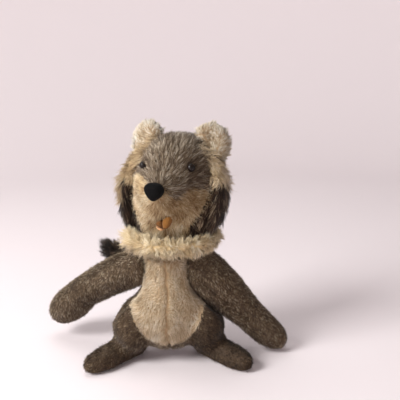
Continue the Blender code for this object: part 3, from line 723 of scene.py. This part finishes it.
def pile(name, form, body, slot, look, seed, comb, density, length, radius, lean, keep=None, tint=None,
         steps=1, tuft=6, pull=0.5, spread=0.2, curl=0.0, vary=0.25, contrast=0.6, fleck=0.0, patch=0.2,
         swirl=0.3):
    """Grows one piece of fur over a padded form."""
    rng = np.random.default_rng(seed)
    roots, normals = scatter(form.data, density, rng)
    if keep is not None:
        kept = keep(roots, normals, rng)
        roots, normals = roots[kept], normals[kept]
    count = len(roots)
    group, middle = clumps(roots, tuft, rng)
    groups = group.max() + 1
    stray = rng.normal(size=(groups, 3))[group] * spread
    stray = stray + rng.normal(size=(count, 3)) * spread * STRAY_SHARE
    flat = flat_to(normals, comb(roots, normals) + SLIGHT)
    flat = turned(flat, normals, swirl * mottle(roots, SWIRL_SIZE, rng))
    lengths = length(roots) if callable(length) else np.full(count, length)
    uneven = LENGTH_BY_STRAND * rng.normal(size=count) + LENGTH_BY_TUFT * rng.normal(size=groups)[group]
    lengths = lengths * np.clip(1 + vary * uneven, *LENGTH_LIMITS)
    lean = (lean(normals) if callable(lean) else np.full(count, lean))[:, None]
    way = unit(normals * (1 - lean) + flat * lean + stray)
    paths = np.empty((count, steps + 1, 3))
    paths[:, 0] = roots - normals * ROOT_DEPTH
    for step in range(1, steps + 1):
        bent = unit(way + flat * lean * BEND_SHARE * (step / steps))
        paths[:, step] = paths[:, step - 1] + bent * (lengths / steps)[:, None]
    if curl:
        add_curl(paths, way, normals, curl, rng.random(groups)[group] * 2 * math.pi)
    for step in range(1, steps + 1):
        share = pull * (step / steps) ** PULL_CURVE
        paths[:, step] = paths[:, step] * (1 - share) + paths[middle, step] * share
    paths[:, :, 2] = np.maximum(paths[:, :, 2], FLOOR_CLEAR)
    mixed = TONE_BY_TUFT * rng.random(groups)[group] + TONE_BY_STRAND * rng.random(count)
    tone = 0.5 + contrast * (mixed - (TONE_BY_TUFT + TONE_BY_STRAND) / 2)
    tone += fleck * ((rng.random(groups) < FLECK_SHARE) - FLECK_SHARE)[group]
    tone += patch * mottle(roots, PATCH_SIZE, rng)
    if tint is not None:
        tone += tint(roots)
    widths = radius * (RADIUS_LEAST + RADIUS_RANGE * rng.random(count))
    mesh = strand_mesh(name, paths, widths, np.clip(tone, TONE_MARGIN, 1 - TONE_MARGIN), normals)
    return add_piece(name, mesh, body, slot, FUR[look])


def add_curl(paths, way, normals, curl, phase):
    """Winds each strand once round in a loose helix, in step with the rest of its tuft."""
    steps = paths.shape[1] - 1
    aside = unit(np.cross(way, normals + NUDGE))
    lift = np.cross(way, aside)
    for step in range(1, steps + 1):
        angle = phase + 2 * math.pi * step / steps
        sway = (np.sin(angle) - np.sin(phase))[:, None] * aside
        sway += (np.cos(angle) - np.cos(phase))[:, None] * lift
        paths[:, step] += sway * curl


# Combing


def towards(place):
    return lambda roots, normals: np.array(place)[None] - roots


def away_from(place):
    return lambda roots, normals: roots - np.array(place)[None]


def along(way):
    return lambda roots, normals: np.broadcast_to(np.array(way, float), roots.shape)


def middle_of(*nodes):
    low = np.min([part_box(node)[0] for node in nodes], axis=0)
    high = np.max([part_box(node)[1] for node in nodes], axis=0)
    return (low + high) / 2


def in_zone(zone, *names, fringe=FRINGE):
    """Keeps the roots that lie in these zones, with a slightly ragged edge."""

    def keep(roots, normals, rng):
        return np.isin(zone(roots + rng.normal(size=roots.shape) * fringe, normals), names)

    return keep


def nearest_zone(*nodes):
    """Zones named after the solids that lie nearest."""
    lookup = Zones(nodes)
    return lambda points, normals: lookup.nearest(points)


COAT = dict(
    look="coat_plush", slot="coat_plush", density=2.6e6, length=0.0040, radius=0.00019, lean=0.55, tuft=4,
    contrast=0.9, fleck=0.26, patch=0.06,
)
MASK = dict(
    look="mask", slot="coat_plush", density=2.6e6, length=0.0078, radius=0.00020, lean=0.66, tuft=5,
    swirl=0.15, contrast=0.9, fleck=0.32, patch=0.06,
)
CREAM = dict(
    look="cream_plush", slot="cream_plush", density=2.5e6, length=0.0052, radius=0.00020, lean=0.40, tuft=6,
    spread=0.16, pull=0.35, swirl=0.8, contrast=0.5, fleck=0.15, patch=0.16,
)
FACE = {**CREAM, "look": "face", "contrast": 0.65, "fleck": 0.25, "tuft": 4}
EAR = {
    **CREAM, "look": "ear", "length": 0.0062, "spread": 0.20, "lean": 0.5, "tuft": 8, "contrast": 0.8,
    "fleck": 0.3,
}
LONG_CREAM = dict(
    look="long_cream_pile", slot="long_cream_pile", density=1.6e6, length=0.0120, radius=0.00023, lean=0.58,
    steps=3, tuft=5, pull=0.28, spread=0.22, curl=0.0010, swirl=0.5, vary=0.35, contrast=0.8,
)
MANE = {**LONG_CREAM, "look": "mane"}
COLLAR = {**LONG_CREAM, "swirl": 0.8, "tuft": 9, "pull": 0.42, "vary": 0.45, "fleck": 0.2}
LONG_DARK = dict(
    look="long_dark_pile", slot="long_dark_pile", density=1.7e6, length=0.0135, radius=0.00024, lean=0.74,
    steps=3, tuft=6, pull=0.40, spread=0.10, curl=0.0003, contrast=1.1, fleck=0.25, swirl=0.12,
)
JAW = {**LONG_DARK, "length": 0.011}
BLACK = dict(
    look="black_pile", slot="black_pile", density=1.7e6, length=0.0095, radius=0.00024, lean=0.45, steps=3,
    tuft=10, pull=0.4, spread=0.25, curl=0.0004,
)


# Body


def belly_swell(points, normals):
    """The stuffed belly stands proud at the front, with a shallow groove along its seam."""
    height = bump(points[:, 2] - BELLY_HEIGHT, BELLY_TALL)
    front = np.clip(-normals[:, 1] + BELLY_TURN, 0, 1)
    groove = SEAM_GROOVE * bump(points[:, 0] - seam_line(points), SEAM_GROOVE_WIDTH) * (normals[:, 1] < 0)
    return BELLY_SWELL * height * front * (np.abs(points[:, 0]) < BELLY_REACH) - groove


def belly_half_width(heights):
    """Half the width of the cream belly: a round U below and an easy taper above."""
    below = np.clip((BELLY_WIDEST - heights) / (BELLY_WIDEST - BELLY_BOTTOM), 0, 1)
    above = np.clip((heights - BELLY_WIDEST) / (BELLY_TOP - BELLY_WIDEST), 0, 1)
    taper = (BELLY_HALF - BELLY_TOP_HALF) * (1 - np.cos(math.pi * above)) / 2
    return BELLY_HALF * np.sqrt(1 - below**2) - taper


def belly_length(points):
    """The belly's pile is clipped short along its edge."""
    aside = belly_half_width(points[:, 2]) - np.abs(points[:, 0])
    curve = np.sqrt(np.clip(1 - (points[:, 0] / BELLY_HALF) ** 2, 0, 1))
    above = points[:, 2] - BELLY_WIDEST + (BELLY_WIDEST - BELLY_BOTTOM) * curve
    return np.interp(np.minimum(aside, above), (0, BELLY_EDGE), (BELLY_EDGE_LENGTH, CREAM["length"]))


def seam_line(points):
    """The belly's middle seam, sewn by hand and a little crooked."""
    height = points[:, 2]
    return SEAM_WANDER * np.sin(height / SEAM_WAVE) + SEAM_WANDER / 2 * np.sin(height / SEAM_RIPPLE)


def part_at_seam(roots, normals):
    """Pile that runs down and lies away from the belly's middle seam."""
    seam = roots[:, 0] - seam_line(roots)
    aside = np.sign(seam) * np.exp(-np.abs(seam) / PARTING_WIDTH) * PARTING
    return np.stack((aside, np.zeros(len(roots)), -np.ones(len(roots))), axis=1)


def build_body():
    legs, toes = {}, {}
    for side, sign in SIDES:
        legs[side] = [f"leg_{side}_outer_panel", f"leg_{side}_inner_panel", f"sole_{side}"]
        low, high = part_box(f"sole_{side}")
        toes[side] = (high[0] if sign > 0 else low[0], low[1], TOE_HEIGHT)
    panels = [f"{panel}_panel_{side}" for panel in ("side", "belly") for side, _ in SIDES]
    outside = [*panels, *legs["right"], *legs["left"]]
    filling = ["body_stuffing", "leg_right_stuffing", "leg_left_stuffing"]
    plugs = [JOINTS["neck_swivel"] - Vector((0, 0, PLUG_DEPTH))]
    for side, sign in SIDES:
        plugs.append(JOINTS[f"shoulder_{side}_swing"] - Vector((sign * PLUG_DEPTH, 0, 0)))
    solids = Zones(outside)

    def zone(points, normals):
        names = solids.nearest(points).astype("<U16")
        for side, _ in SIDES:
            names[np.char.startswith(names, f"leg_{side}")] = f"leg_{side}"
        torso = ~np.char.startswith(names, "leg") & ~np.char.startswith(names, "sole")
        names[torso] = np.where(points[torso, 0] < 0, "coat_right", "coat_left")
        turned_away = np.maximum(points[:, 1] - BELLY_REAR, 0)
        cream = np.abs(points[:, 0]) < belly_half_width(points[:, 2]) - turned_away
        names[cream & (normals[:, 1] < BELLY_FACING)] = "belly"
        return names

    form = padded_form(
        "body_form", "body", "coat_plush", [*outside, *filling], "body", plugs,
        {"coat_plush": ("coat_right", "coat_left", "leg_right", "leg_left"), "cream_plush": ("belly",)}, zone,
        floor=True, creases=BODY_CREASE_ROUNDS, swell=belly_swell,
    )
    on_belly = in_zone(zone, "belly")

    def keep_belly(roots, normals, rng):
        return on_belly(roots, normals, rng) & (np.abs(roots[:, 0] - seam_line(roots)) > SEAM_HALF)

    def seam_shade(roots):
        return BELLY_TINT - SEAM_SHADE * bump(roots[:, 0] - seam_line(roots), SEAM_SHADE_WIDTH)

    pile("belly_pile", form, "body", seed=12, comb=part_at_seam, keep=keep_belly, tint=seam_shade,
         **{**CREAM, "length": belly_length})
    for number, (side, _) in enumerate(SIDES):
        on_leg = in_zone(zone, f"leg_{side}")

        def keep_leg(roots, normals, rng):
            """The flat sole carries no pile."""
            upper = (normals[:, 2] > SOLE_FACING) | (roots[:, 2] > SOLE_TOP)
            return on_leg(roots, normals, rng) & upper

        pile(f"torso_{side}_pile", form, "body", seed=15 + number, comb=along(-UP),
             keep=in_zone(zone, f"coat_{side}"), **COAT)
        # Darker leg pile, with painted shade on the toy's left leg
        pile(f"leg_{side}_pile", form, "body", seed=13 + number, comb=towards(toes[side]), keep=keep_leg,
             tint=lambda roots: LEG_TINT_AND_PAINTED_SHADE[side], **COAT)


def build_arm(side, sign, seed):
    panels = [f"arm_{side}_outer_panel", f"arm_{side}_inner_panel"]
    shoulder = np.array(JOINTS[f"shoulder_{side}_swing"])
    cloth = np.concatenate([points_of(NODES[panel].data) for panel in panels])
    hand = cloth[np.argmax(np.linalg.norm(cloth - shoulder, axis=1))]
    reach = np.linalg.norm(hand - shoulder)
    axis = unit(hand - shoulder)
    front = unit(FRONT - axis * (FRONT @ axis))
    upward = unit(UP - axis * (UP @ axis))
    across = np.cross(axis, front)

    def share_of(points):
        """Place along the arm, 0 at the shoulder and 1 at the hand."""
        return (points - shoulder) @ axis / reach

    def turn_of(points):
        """Place round the arm, 0 along its front."""
        return np.arctan2((points - shoulder) @ across, (points - shoulder) @ front)

    def crease(points):
        """1 in the line that shows on this arm: a fold above the hand, or the front seam."""
        if side == "right":
            return bump(share_of(points) - FOLD_SHARE, FOLD_WIDTH)
        return bump(turn_of(points), ARM_SEAM_WIDTH) * (share_of(points) < ARM_SEAM_END)

    def fuller(points, normals):
        """The upper and lower sides of the arm swell apart from each other."""
        top = np.clip(0.5 + ARM_TOP_EDGE * normals @ upward, 0, 1)
        share = share_of(points)
        over = np.interp(share, ARM_SHARES, ARM_UPPER[side])
        under = np.interp(share, ARM_SHARES, ARM_LOWER[side])
        if side == "right":
            groove = FOLD_DEPTH * crease(points) * (1 - top)
        else:
            groove = ARM_SEAM_DEPTH * crease(points)
        return top * over + (1 - top) * under - groove

    form = padded_form(
        f"arm_{side}_form", f"arm_{side}", "coat_plush", [*panels, f"arm_{side}_stuffing"], "arm",
        [shoulder + np.array((sign * PLUG_DEPTH, 0, 0))], swell=fuller,
    )
    points = points_of(form.data)
    stretch = ARM_STRETCH[side] * np.clip(share_of(points), 0, 1) ** 2
    set_points(form.data, points + axis * stretch[:, None])

    def comb(roots, normals):
        """The nap runs across the right arm, and along the left arm towards its front seam."""
        turn = turn_of(roots)
        tangent = across * np.cos(turn)[:, None] - front * np.sin(turn)[:, None]
        if side == "right":
            return NAP_ALONG * axis - tangent
        return axis - NAP_ACROSS * np.sign(turn)[:, None] * tangent

    def shade(roots):
        return -ARM_CREASE_SHADE * crease(roots)

    pile(f"arm_{side}_pile", form, f"arm_{side}", seed=seed, comb=comb, tint=shade, **COAT)


# Head


def head_local(points):
    """Points in the head's own upright frame, about the neck joint."""
    local = (points - np.array(JOINTS["neck_swivel"])) @ np.array(HEAD_AXES)
    local[:, 0] -= HEAD_LEAN * local[:, 2]
    return local


def mask_edge(local):
    """Height of the lower edge of the dark mask, which climbs at the right cheek and dips beside the nose."""
    share = np.clip((local[:, 1] - MASK_FRONT[0]) / (MASK_REAR[0] - MASK_FRONT[0]), 0, 1)
    edge = MASK_FRONT[1] + (MASK_REAR[1] - MASK_FRONT[1]) * share
    climb = np.clip((-local[:, 0] - MASK_CLIMB_START) / MASK_CLIMB_WIDTH, 0, 1)
    return edge + MASK_CLIMB * climb - MASK_DIP * bump(local[:, 0] - MASK_DIP_PLACE, MASK_DIP_WIDTH)


def by_sign(sign, values):
    """The value for the left where the sign is positive, and otherwise the one for the right."""
    return np.where(sign > 0, values["left"], values["right"])


def ruff_way(sign):
    """The ruff's hair hangs down and in towards the chin on either side."""
    return -HEAD_LEFT * sign * RUFF_INWARD + HEAD_FRONT * RUFF_FORWARD - UP


def mane_way(sign):
    """The pale mane falls outward and down from the mask and the ears, and straighter on the left."""
    return HEAD_LEFT * by_sign(sign, MANE_LEFTWARD) + HEAD_FRONT * MANE_FORWARD - UP


def band_way(sign):
    """Beside the mask the pale pile is brushed across towards the mane."""
    return HEAD_LEFT * by_sign(sign, BAND_LEFTWARD) - UP * BAND_DOWN


def build_head():
    solids = Zones(HEAD_PANELS + RUFFS)

    def zone(points, normals):
        local = head_local(points)
        aside, height = np.abs(local[:, 0]), local[:, 2]
        upper = height > mask_edge(local)
        names = np.where(upper, "mask", "face").astype("<U18")
        mask_right = np.interp(height, MASK_HEIGHTS, MASK_RIGHT_WIDTHS)
        mask_left = np.interp(height, MASK_HEIGHTS, MASK_LEFT_WIDTHS)
        names[upper & (aside > np.where(local[:, 0] < 0, mask_right, mask_left))] = "band"
        names[~upper & (aside > np.interp(height, FACE_HEIGHTS, FACE_HALF_WIDTHS))] = "jaw"
        nearest = solids.nearest(points)
        names[np.char.startswith(nearest, "head_back")] = "back"
        ruff = np.isin(nearest, RUFFS)
        names[ruff] = nearest[ruff]
        low_front = np.char.startswith(names, "mane") & (height < DARK_TOP) & (local[:, 1] < DARK_REAR)
        names[low_front] = np.where(local[low_front, 0] < 0, "cheek_ruff_right", "cheek_ruff_left")
        rim = (names == "cheek_ruff_right") & (aside > RIM_ASIDE) & (height > RIM_BOTTOM)
        names[rim] = "mane_right"
        return names

    def lower_ruffs(points, normals):
        """The ruffs are drawn in further, by the length of their long pile."""
        nearest = solids.nearest(points)
        depth = np.zeros(len(points))
        for node, inset in RUFF_INSETS.items():
            depth[nearest == node] = inset
        return -depth

    form = padded_form(
        "head_form", "head", "cream_plush", [*HEAD_PANELS, *RUFFS, "head_stuffing"], "head",
        [JOINTS["neck_swivel"] + Vector((0, 0, PLUG_DEPTH))],
        {
            "coat_plush": ("mask", "back"),
            "cream_plush": ("face",),
            "long_cream_pile": ("band", "mane_right", "mane_left"),
            "long_dark_pile": ("jaw", "cheek_ruff_right", "cheek_ruff_left"),
        },
        zone, creases=HEAD_CREASE_ROUNDS, swell=lower_ruffs,
    )
    dress_face(form, zone)
    dress_ruffs(form, zone)
    pile("head_back_pile", form, "head", seed=23, comb=along(HEAD_BACK_WAY), keep=in_zone(zone, "back"),
         **COAT)


def dress_face(form, zone):
    """The dark mask and the pale face, both combed away from the nose."""
    start = middle_of("nose") - HEAD_FRONT * NOSE_COMB_DEPTH
    eyes = [middle_of(f"eye_{side}") for side, _ in SIDES]
    on_mask = in_zone(zone, "mask", fringe=FACE_FRINGE)
    on_face = in_zone(zone, "face", fringe=FACE_FRINGE)

    def eye_gap(roots):
        return np.min([np.linalg.norm(roots - eye, axis=1) for eye in eyes], axis=0)

    def keep_mask(roots, normals, rng):
        return on_mask(roots, normals, rng) & (eye_gap(roots) > EYE_CLEARING)

    def eye_shade(roots):
        return -EYE_SHADE * bump(eye_gap(roots), EYE_SHADE_REACH)

    def spot(local, place, size):
        return bump(local[:, 0] - place[0], size[0]) * bump(local[:, 2] - place[1], size[1])

    def face_shade(roots):
        local = head_local(roots)
        # Painted shade over the brown stain right of the muzzle, painted shade under the nose, and a darker
        # line along the chin seam
        brown = BROWN_CHEEK_SHADE * spot(local, BROWN_CHEEK, BROWN_CHEEK_SIZE)
        under_nose = UNDER_NOSE_SHADE * spot(local, UNDER_NOSE, UNDER_NOSE_SIZE)
        seam = CHIN_SEAM_SHADE * bump(local[:, 0] - CHIN_SEAM, CHIN_SEAM_WIDTH)
        return FACE_TINT - brown - under_nose - seam * (local[:, 2] < CHIN_SEAM_TOP)

    def longer_at_chin(roots):
        return np.interp(head_local(roots)[:, 2], CHIN_HEIGHTS, (CHIN_LENGTH, CREAM["length"]))

    comb = away_from(start)
    pile("forehead_pile", form, "head", seed=21, comb=comb, keep=keep_mask, tint=eye_shade, **MASK)
    pile("face_pile", form, "head", seed=22, comb=comb, keep=on_face, tint=face_shade,
         **{**FACE, "length": longer_at_chin})


def dress_ruffs(form, zone):
    """The pale mane beside the mask and the dark ruff beside the jaw."""

    def by_side(way):
        return lambda roots, normals: way(np.sign(head_local(roots)[:, 0])[:, None])

    def mane_painted_light_and_shade(roots):
        # Painted shade on the toy's right side of the mane and band, and painted light on its left
        return by_sign(head_local(roots)[:, 0], MANE_PAINTED_LIGHT_AND_SHADE)

    def shorter_above(roots):
        return np.interp(head_local(roots)[:, 2], MANE_HEIGHTS, (MANE["length"], MANE_TOP_LENGTH))

    pile("mask_band_pile", form, "head", seed=25, comb=by_side(band_way), keep=in_zone(zone, "band"),
         tint=mane_painted_light_and_shade, **MANE)
    pile("jaw_ruff_pile", form, "head", seed=24, comb=by_side(ruff_way), keep=in_zone(zone, "jaw"),
         tint=lambda roots: JAW_TINT, **JAW)
    for number, (side, sign) in enumerate(SIDES):
        pile(f"mane_{side}_pile", form, "head", seed=61 + number, comb=along(mane_way(sign)),
             keep=in_zone(zone, f"mane_{side}"), tint=mane_painted_light_and_shade, **{**MANE, "length": shorter_above})
        pile(f"cheek_{side}_pile", form, "head", seed=63 + number, comb=along(ruff_way(sign)),
             keep=in_zone(zone, f"cheek_ruff_{side}"), tint=lambda roots: RUFF_TINT[side], **LONG_DARK)


def build_ear(side, seed):
    """A cupped ear, pale inside and dark behind."""
    lining, back = f"ear_{side}_lining", f"ear_{side}_back"
    zone = nearest_zone(lining, back)
    hollow = middle_of(lining) + HEAD_FRONT * EAR_HOLLOW_FORWARD + UP * EAR_HOLLOW_RISE

    def near_hollow(points, reach):
        return bump(np.linalg.norm(points - hollow, axis=1), reach)

    def cupped(points, normals):
        return -EAR_CUP * near_hollow(points, EAR_CUP_REACH) * np.clip(normals @ HEAD_FRONT, 0, 1)

    form = padded_form(
        f"ear_{side}_form", "head", "cream_plush", [lining, back], "ear", (),
        {"cream_plush": (lining,), "coat_plush": (back,)}, zone, swell=cupped,
    )
    comb = away_from(middle_of(lining) - EAR_ROOT_DROP * UP)

    def inner_shade(roots):
        # Lighter all over, with painted light on the toy's right ear and painted shade in the hollow
        return EAR_TINT_AND_PAINTED_LIGHT[side] - EAR_SHADE * near_hollow(roots, EAR_SHADE_REACH)

    pile(f"ear_{side}_lining_pile", form, "head", seed=seed, comb=comb, keep=in_zone(zone, lining),
         tint=inner_shade, **EAR)
    pile(f"ear_{side}_back_pile", form, "head", seed=seed + 1, comb=comb, keep=in_zone(zone, back), **COAT)


def build_collar(seed):
    """A ring of long curly pile that hides the neck joint, grown in two halves."""
    form = padded_form("collar_form", "head", "long_cream_pile", ["collar"], "collar")
    centre = np.array(JOINTS["neck_swivel"])
    low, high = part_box("collar")
    heights = ((low[2] + high[2]) / 2, high[2] - COLLAR_TOP_DEPTH)

    def comb(roots, normals):
        out = roots - centre
        out[:, 2] = 0
        return unit(out) * COLLAR_OUTWARD - UP

    def upright_on_top(normals):
        return COLLAR_LEAN - COLLAR_TOP_RISE * np.clip(normals[:, 2] * COLLAR_TOP_EDGE, 0, 1)

    def uneven(roots):
        """Strands are shorter on top and on the toy's left, where the collar lies thinner."""
        lengths = np.interp(roots[:, 2], heights, (COLLAR["length"], COLLAR_TOP_LENGTH))
        return lengths * np.interp(roots[:, 0], COLLAR_THIN_PLACES, COLLAR_THIN_SHARES)

    for number, (side, sign) in enumerate(SIDES):
        pile(f"collar_{side}_pile", form, "head", seed=seed + number, comb=comb,
             keep=lambda roots, normals, rng: roots[:, 0] * sign > 0, tint=lambda roots: COLLAR_TINT,
             **{**COLLAR, "lean": upright_on_top, "length": uneven})


# Face fittings


def head_place(centre):
    """A frame at this centre with the head's own axes."""
    return Matrix.Translation(centre) @ HEAD_AXES.to_4x4()


def rounded(outline):
    """A closed outline with its corners cut off again and again."""
    for _ in range(CORNER_ROUNDS):
        after = np.roll(outline, -1, axis=0)
        first = (1 - CORNER_CUT) * outline + CORNER_CUT * after
        second = CORNER_CUT * outline + (1 - CORNER_CUT) * after
        outline = np.stack((first, second), axis=1).reshape(-1, 2)
    return outline


def pillow(shape, outline, depth, back, rings, thread=0.0):
    """Adds a small cushion to a bmesh: an outline in x and z that swells towards -Y, ridged by any thread."""
    outline = rounded(np.array(outline) / 1000)
    middle = outline.mean(axis=0)
    rows = []
    for ring in range(1, rings + 1):
        reach = ring / rings
        rise = depth * max(0.0, 1 - reach**PILLOW_FLATNESS) ** PILLOW_ROUNDNESS
        row = []
        for x, z in middle + (outline - middle) * reach:
            ridge = thread * abs(math.sin(math.pi * x / THREAD_PITCH)) * (reach < THREAD_EDGE)
            row.append(shape.verts.new((x, -rise - ridge, z)))
        rows.append(row)
    rows.append([shape.verts.new((vert.co.x, back, vert.co.z)) for vert in rows[-1]])
    pole = shape.verts.new((middle[0], -depth, middle[1]))
    count = len(outline)
    for index in range(count):
        after = (index + 1) % count
        shape.faces.new((pole, rows[0][index], rows[0][after]))
        for inner, outer in zip(rows, rows[1:]):
            shape.faces.new((inner[index], outer[index], outer[after], inner[after]))
    shape.faces.new(rows[-1])
    bmesh.ops.recalc_face_normals(shape, faces=shape.faces)


def fitting(name, shape, centre, slot, material, node):
    """A small part of the face, built about its own centre in the head's axes."""
    mesh = mesh_from(shape, name)
    mesh.transform(head_place(centre))
    mesh.shade_smooth()
    piece = add_piece(name, mesh, "head", slot, material)
    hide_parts(node)


def build_nose():
    """A cushion of satin-stitched thread, broad above and drawn to a point below."""
    shape = bmesh.new()
    pillow(shape, NOSE_OUTLINE, NOSE_DEPTH, NOSE_BACK, rings=22, thread=THREAD_RIDGE)
    tones = blend((3, 3, 3), (9, 8, 8))
    black = grain_material("nose_thread", tones, scale=1400, roughness=0.9, relief=0.0003)
    set_specular(black, 0.15)
    centre = Vector(middle_of("nose")) + Vector((0, 0, NOSE_RISE))
    fitting("nose_stitching", shape, centre, "black_stitching", black, "nose")


def build_mouth():
    """Two folded lobes of felt with a pale lip under the smaller one."""
    centre = Vector(middle_of("mouth_felt")) + HEAD_AXES @ Vector(MOUTH_SHIFT)
    for name, outline, depth, tones in MOUTH_LOBES:
        shape = bmesh.new()
        pillow(shape, outline, depth, MOUTH_BACK, rings=10)
        felt = grain_material(f"{name}_felt", tones, scale=900, roughness=0.95, relief=0.0006, sheen=0.05)
        fitting(name, shape, centre, "tan_felt", felt, "mouth_felt")


def build_eyes():
    """Dark beads, sunk into the mask."""
    glass = grain_material("eye_glass", blend((9, 6, 5), (30, 18, 11)), scale=260, roughness=0.3)
    set_specular(glass, 0.25)
    for side, _ in SIDES:
        low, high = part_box(f"eye_{side}")
        shape = bmesh.new()
        bmesh.ops.create_uvsphere(shape, u_segments=32, v_segments=20, radius=(high - low)[2] / 2)
        centre = Vector(middle_of(f"eye_{side}") - HEAD_FRONT * EYE_SINK)
        fitting(f"eye_{side}_bead", shape, centre, "dark_glass", glass, f"eye_{side}")


# Tail


def build_tail(seed):
    root = JOINTS["tail_swing"]
    zone = nearest_zone("tail_sleeve", "tail_tip")
    form = padded_form(
        "tail_form", "tail", "coat_plush", ["tail_sleeve", "tail_tip", "tail_stuffing"], "tail",
        [root + Vector((0, PLUG_DEPTH, 0))],
        {"coat_plush": ("tail_sleeve",), "black_pile": ("tail_tip",)}, zone,
    )
    pile("tail_sleeve_pile", form, "tail", seed=seed, comb=towards(middle_of("tail_tip")),
         keep=in_zone(zone, "tail_sleeve"), **COAT)
    pile("tail_tip_pile", form, "tail", seed=seed + 1, comb=along(TAIL_TIP_WAY),
         keep=in_zone(zone, "tail_tip"), **BLACK)


# Joint hardware inside the toy


def dress_hardware():
    """Gives the fibre discs, insoles, washers and pins their own finish."""
    board_tones = blend((110, 82, 54), (150, 118, 84))
    board = grain_material("pressed_board", board_tones, scale=400, roughness=0.8, relief=0.0002)
    steel_tones = blend((150, 150, 152), (196, 196, 198))
    steel = grain_material("bare_steel", steel_tones, scale=300, roughness=0.35, metallic=1.0,
                           stretch=(1, 1, 12))
    for name, node in NODES.items():
        if "_disc_" in name or name.startswith("insole_"):
            finish = board
        elif "_washer_" in name or name.endswith("_cotter_pin"):
            finish = steel
        else:
            continue
        node.data.materials.clear()
        node.data.materials.append(finish)


# Stage


def sweep_profile():
    """Distances out and heights of the floor's edge as it curves up into a wall."""
    profile = [(SWEEP_START, 0.0)]
    for step in range(1, SWEEP_STEPS + 1):
        angle = math.pi / 2 * step / SWEEP_STEPS
        out = SWEEP_START + SWEEP_RADIUS * math.sin(angle)
        profile.append((out, SWEEP_RADIUS * (1 - math.cos(angle))))
    profile.append((SWEEP_START + SWEEP_RADIUS, SWEEP_TOP))
    return profile


def build_floor():
    shape = bmesh.new()
    turns = [2 * math.pi * index / SWEEP_AROUND for index in range(SWEEP_AROUND)]
    rows = []
    for out, height in sweep_profile():
        rows.append([shape.verts.new((out * math.cos(turn), out * math.sin(turn), height)) for turn in turns])
    shape.faces.new(rows[0])
    for near, far in zip(rows, rows[1:]):
        for index in range(SWEEP_AROUND):
            after = (index + 1) % SWEEP_AROUND
            shape.faces.new((near[index], far[index], far[after], near[after]))
    floor_mesh = mesh_from(shape, "floor")
    floor_mesh.shade_smooth()
    floor = add_object("floor", floor_mesh)
    pale, _, shader = new_material("pale_floor", 0.8)
    shader.inputs["Base Color"].default_value = (*linear(234, 225, 226), 1.0)
    floor_mesh.materials.append(pale)


def light_stage():
    scene = bpy.context.scene
    scene.view_settings.view_transform = "Standard"
    world = bpy.data.worlds.new("studio")
    world.use_nodes = True
    background = world.node_tree.nodes["Background"]
    background.inputs["Color"].default_value = (*linear(244, 238, 238), 1.0)
    background.inputs["Strength"].default_value = WORLD_STRENGTH
    scene.world = world
    for name, place, size, power in LAMPS:
        lamp = bpy.data.lights.new(name, "AREA")
        lamp.size = size
        lamp.energy = power
        light = add_object(name, lamp)
        light.location = place
        light.rotation_euler = (Vector(LAMP_TARGET) - Vector(place)).to_track_quat("-Z", "Y").to_euler()


def build_camera():
    """The photograph's view: aimed so that the target falls on its own pixel, with no shift."""
    focal = CAMERA_DISTANCE / METRES_PER_PIXEL
    target = Vector((0, JOINTS["neck_swivel"].y, TARGET_HEIGHT))
    way = Vector((
        math.sin(CAMERA_AZIMUTH) * math.cos(CAMERA_ELEVATION),
        -math.cos(CAMERA_AZIMUTH) * math.cos(CAMERA_ELEVATION),
        math.sin(CAMERA_ELEVATION),
    ))
    data = bpy.data.cameras.new("camera")
    data.sensor_width = SENSOR
    data.lens = SENSOR * focal / FRAME_PIXELS
    camera = add_object("camera", data)
    camera.location = target + way * CAMERA_DISTANCE
    turn = (-way).to_track_quat("-Z", "Y").to_matrix() @ Matrix.Rotation(CAMERA_ROLL, 3, "Z")
    aside = math.atan((FRAME_PIXELS / 2 - TARGET_PIXEL[0]) / focal)
    above = math.atan((TARGET_PIXEL[1] - FRAME_PIXELS / 2) / focal)
    turn = turn @ Matrix.Rotation(-aside, 3, "Y") @ Matrix.Rotation(above, 3, "X")
    camera.rotation_euler = turn.to_euler()
    bpy.context.scene.camera = camera


build_body()
for number, (side, sign) in enumerate(SIDES):
    build_arm(side, sign, 41 + number)
    build_ear(side, 51 + 2 * number)
build_head()
build_collar(71)
build_nose()
build_mouth()
build_eyes()
build_tail(81)
dress_hardware()
build_floor()
light_stage()
build_camera()
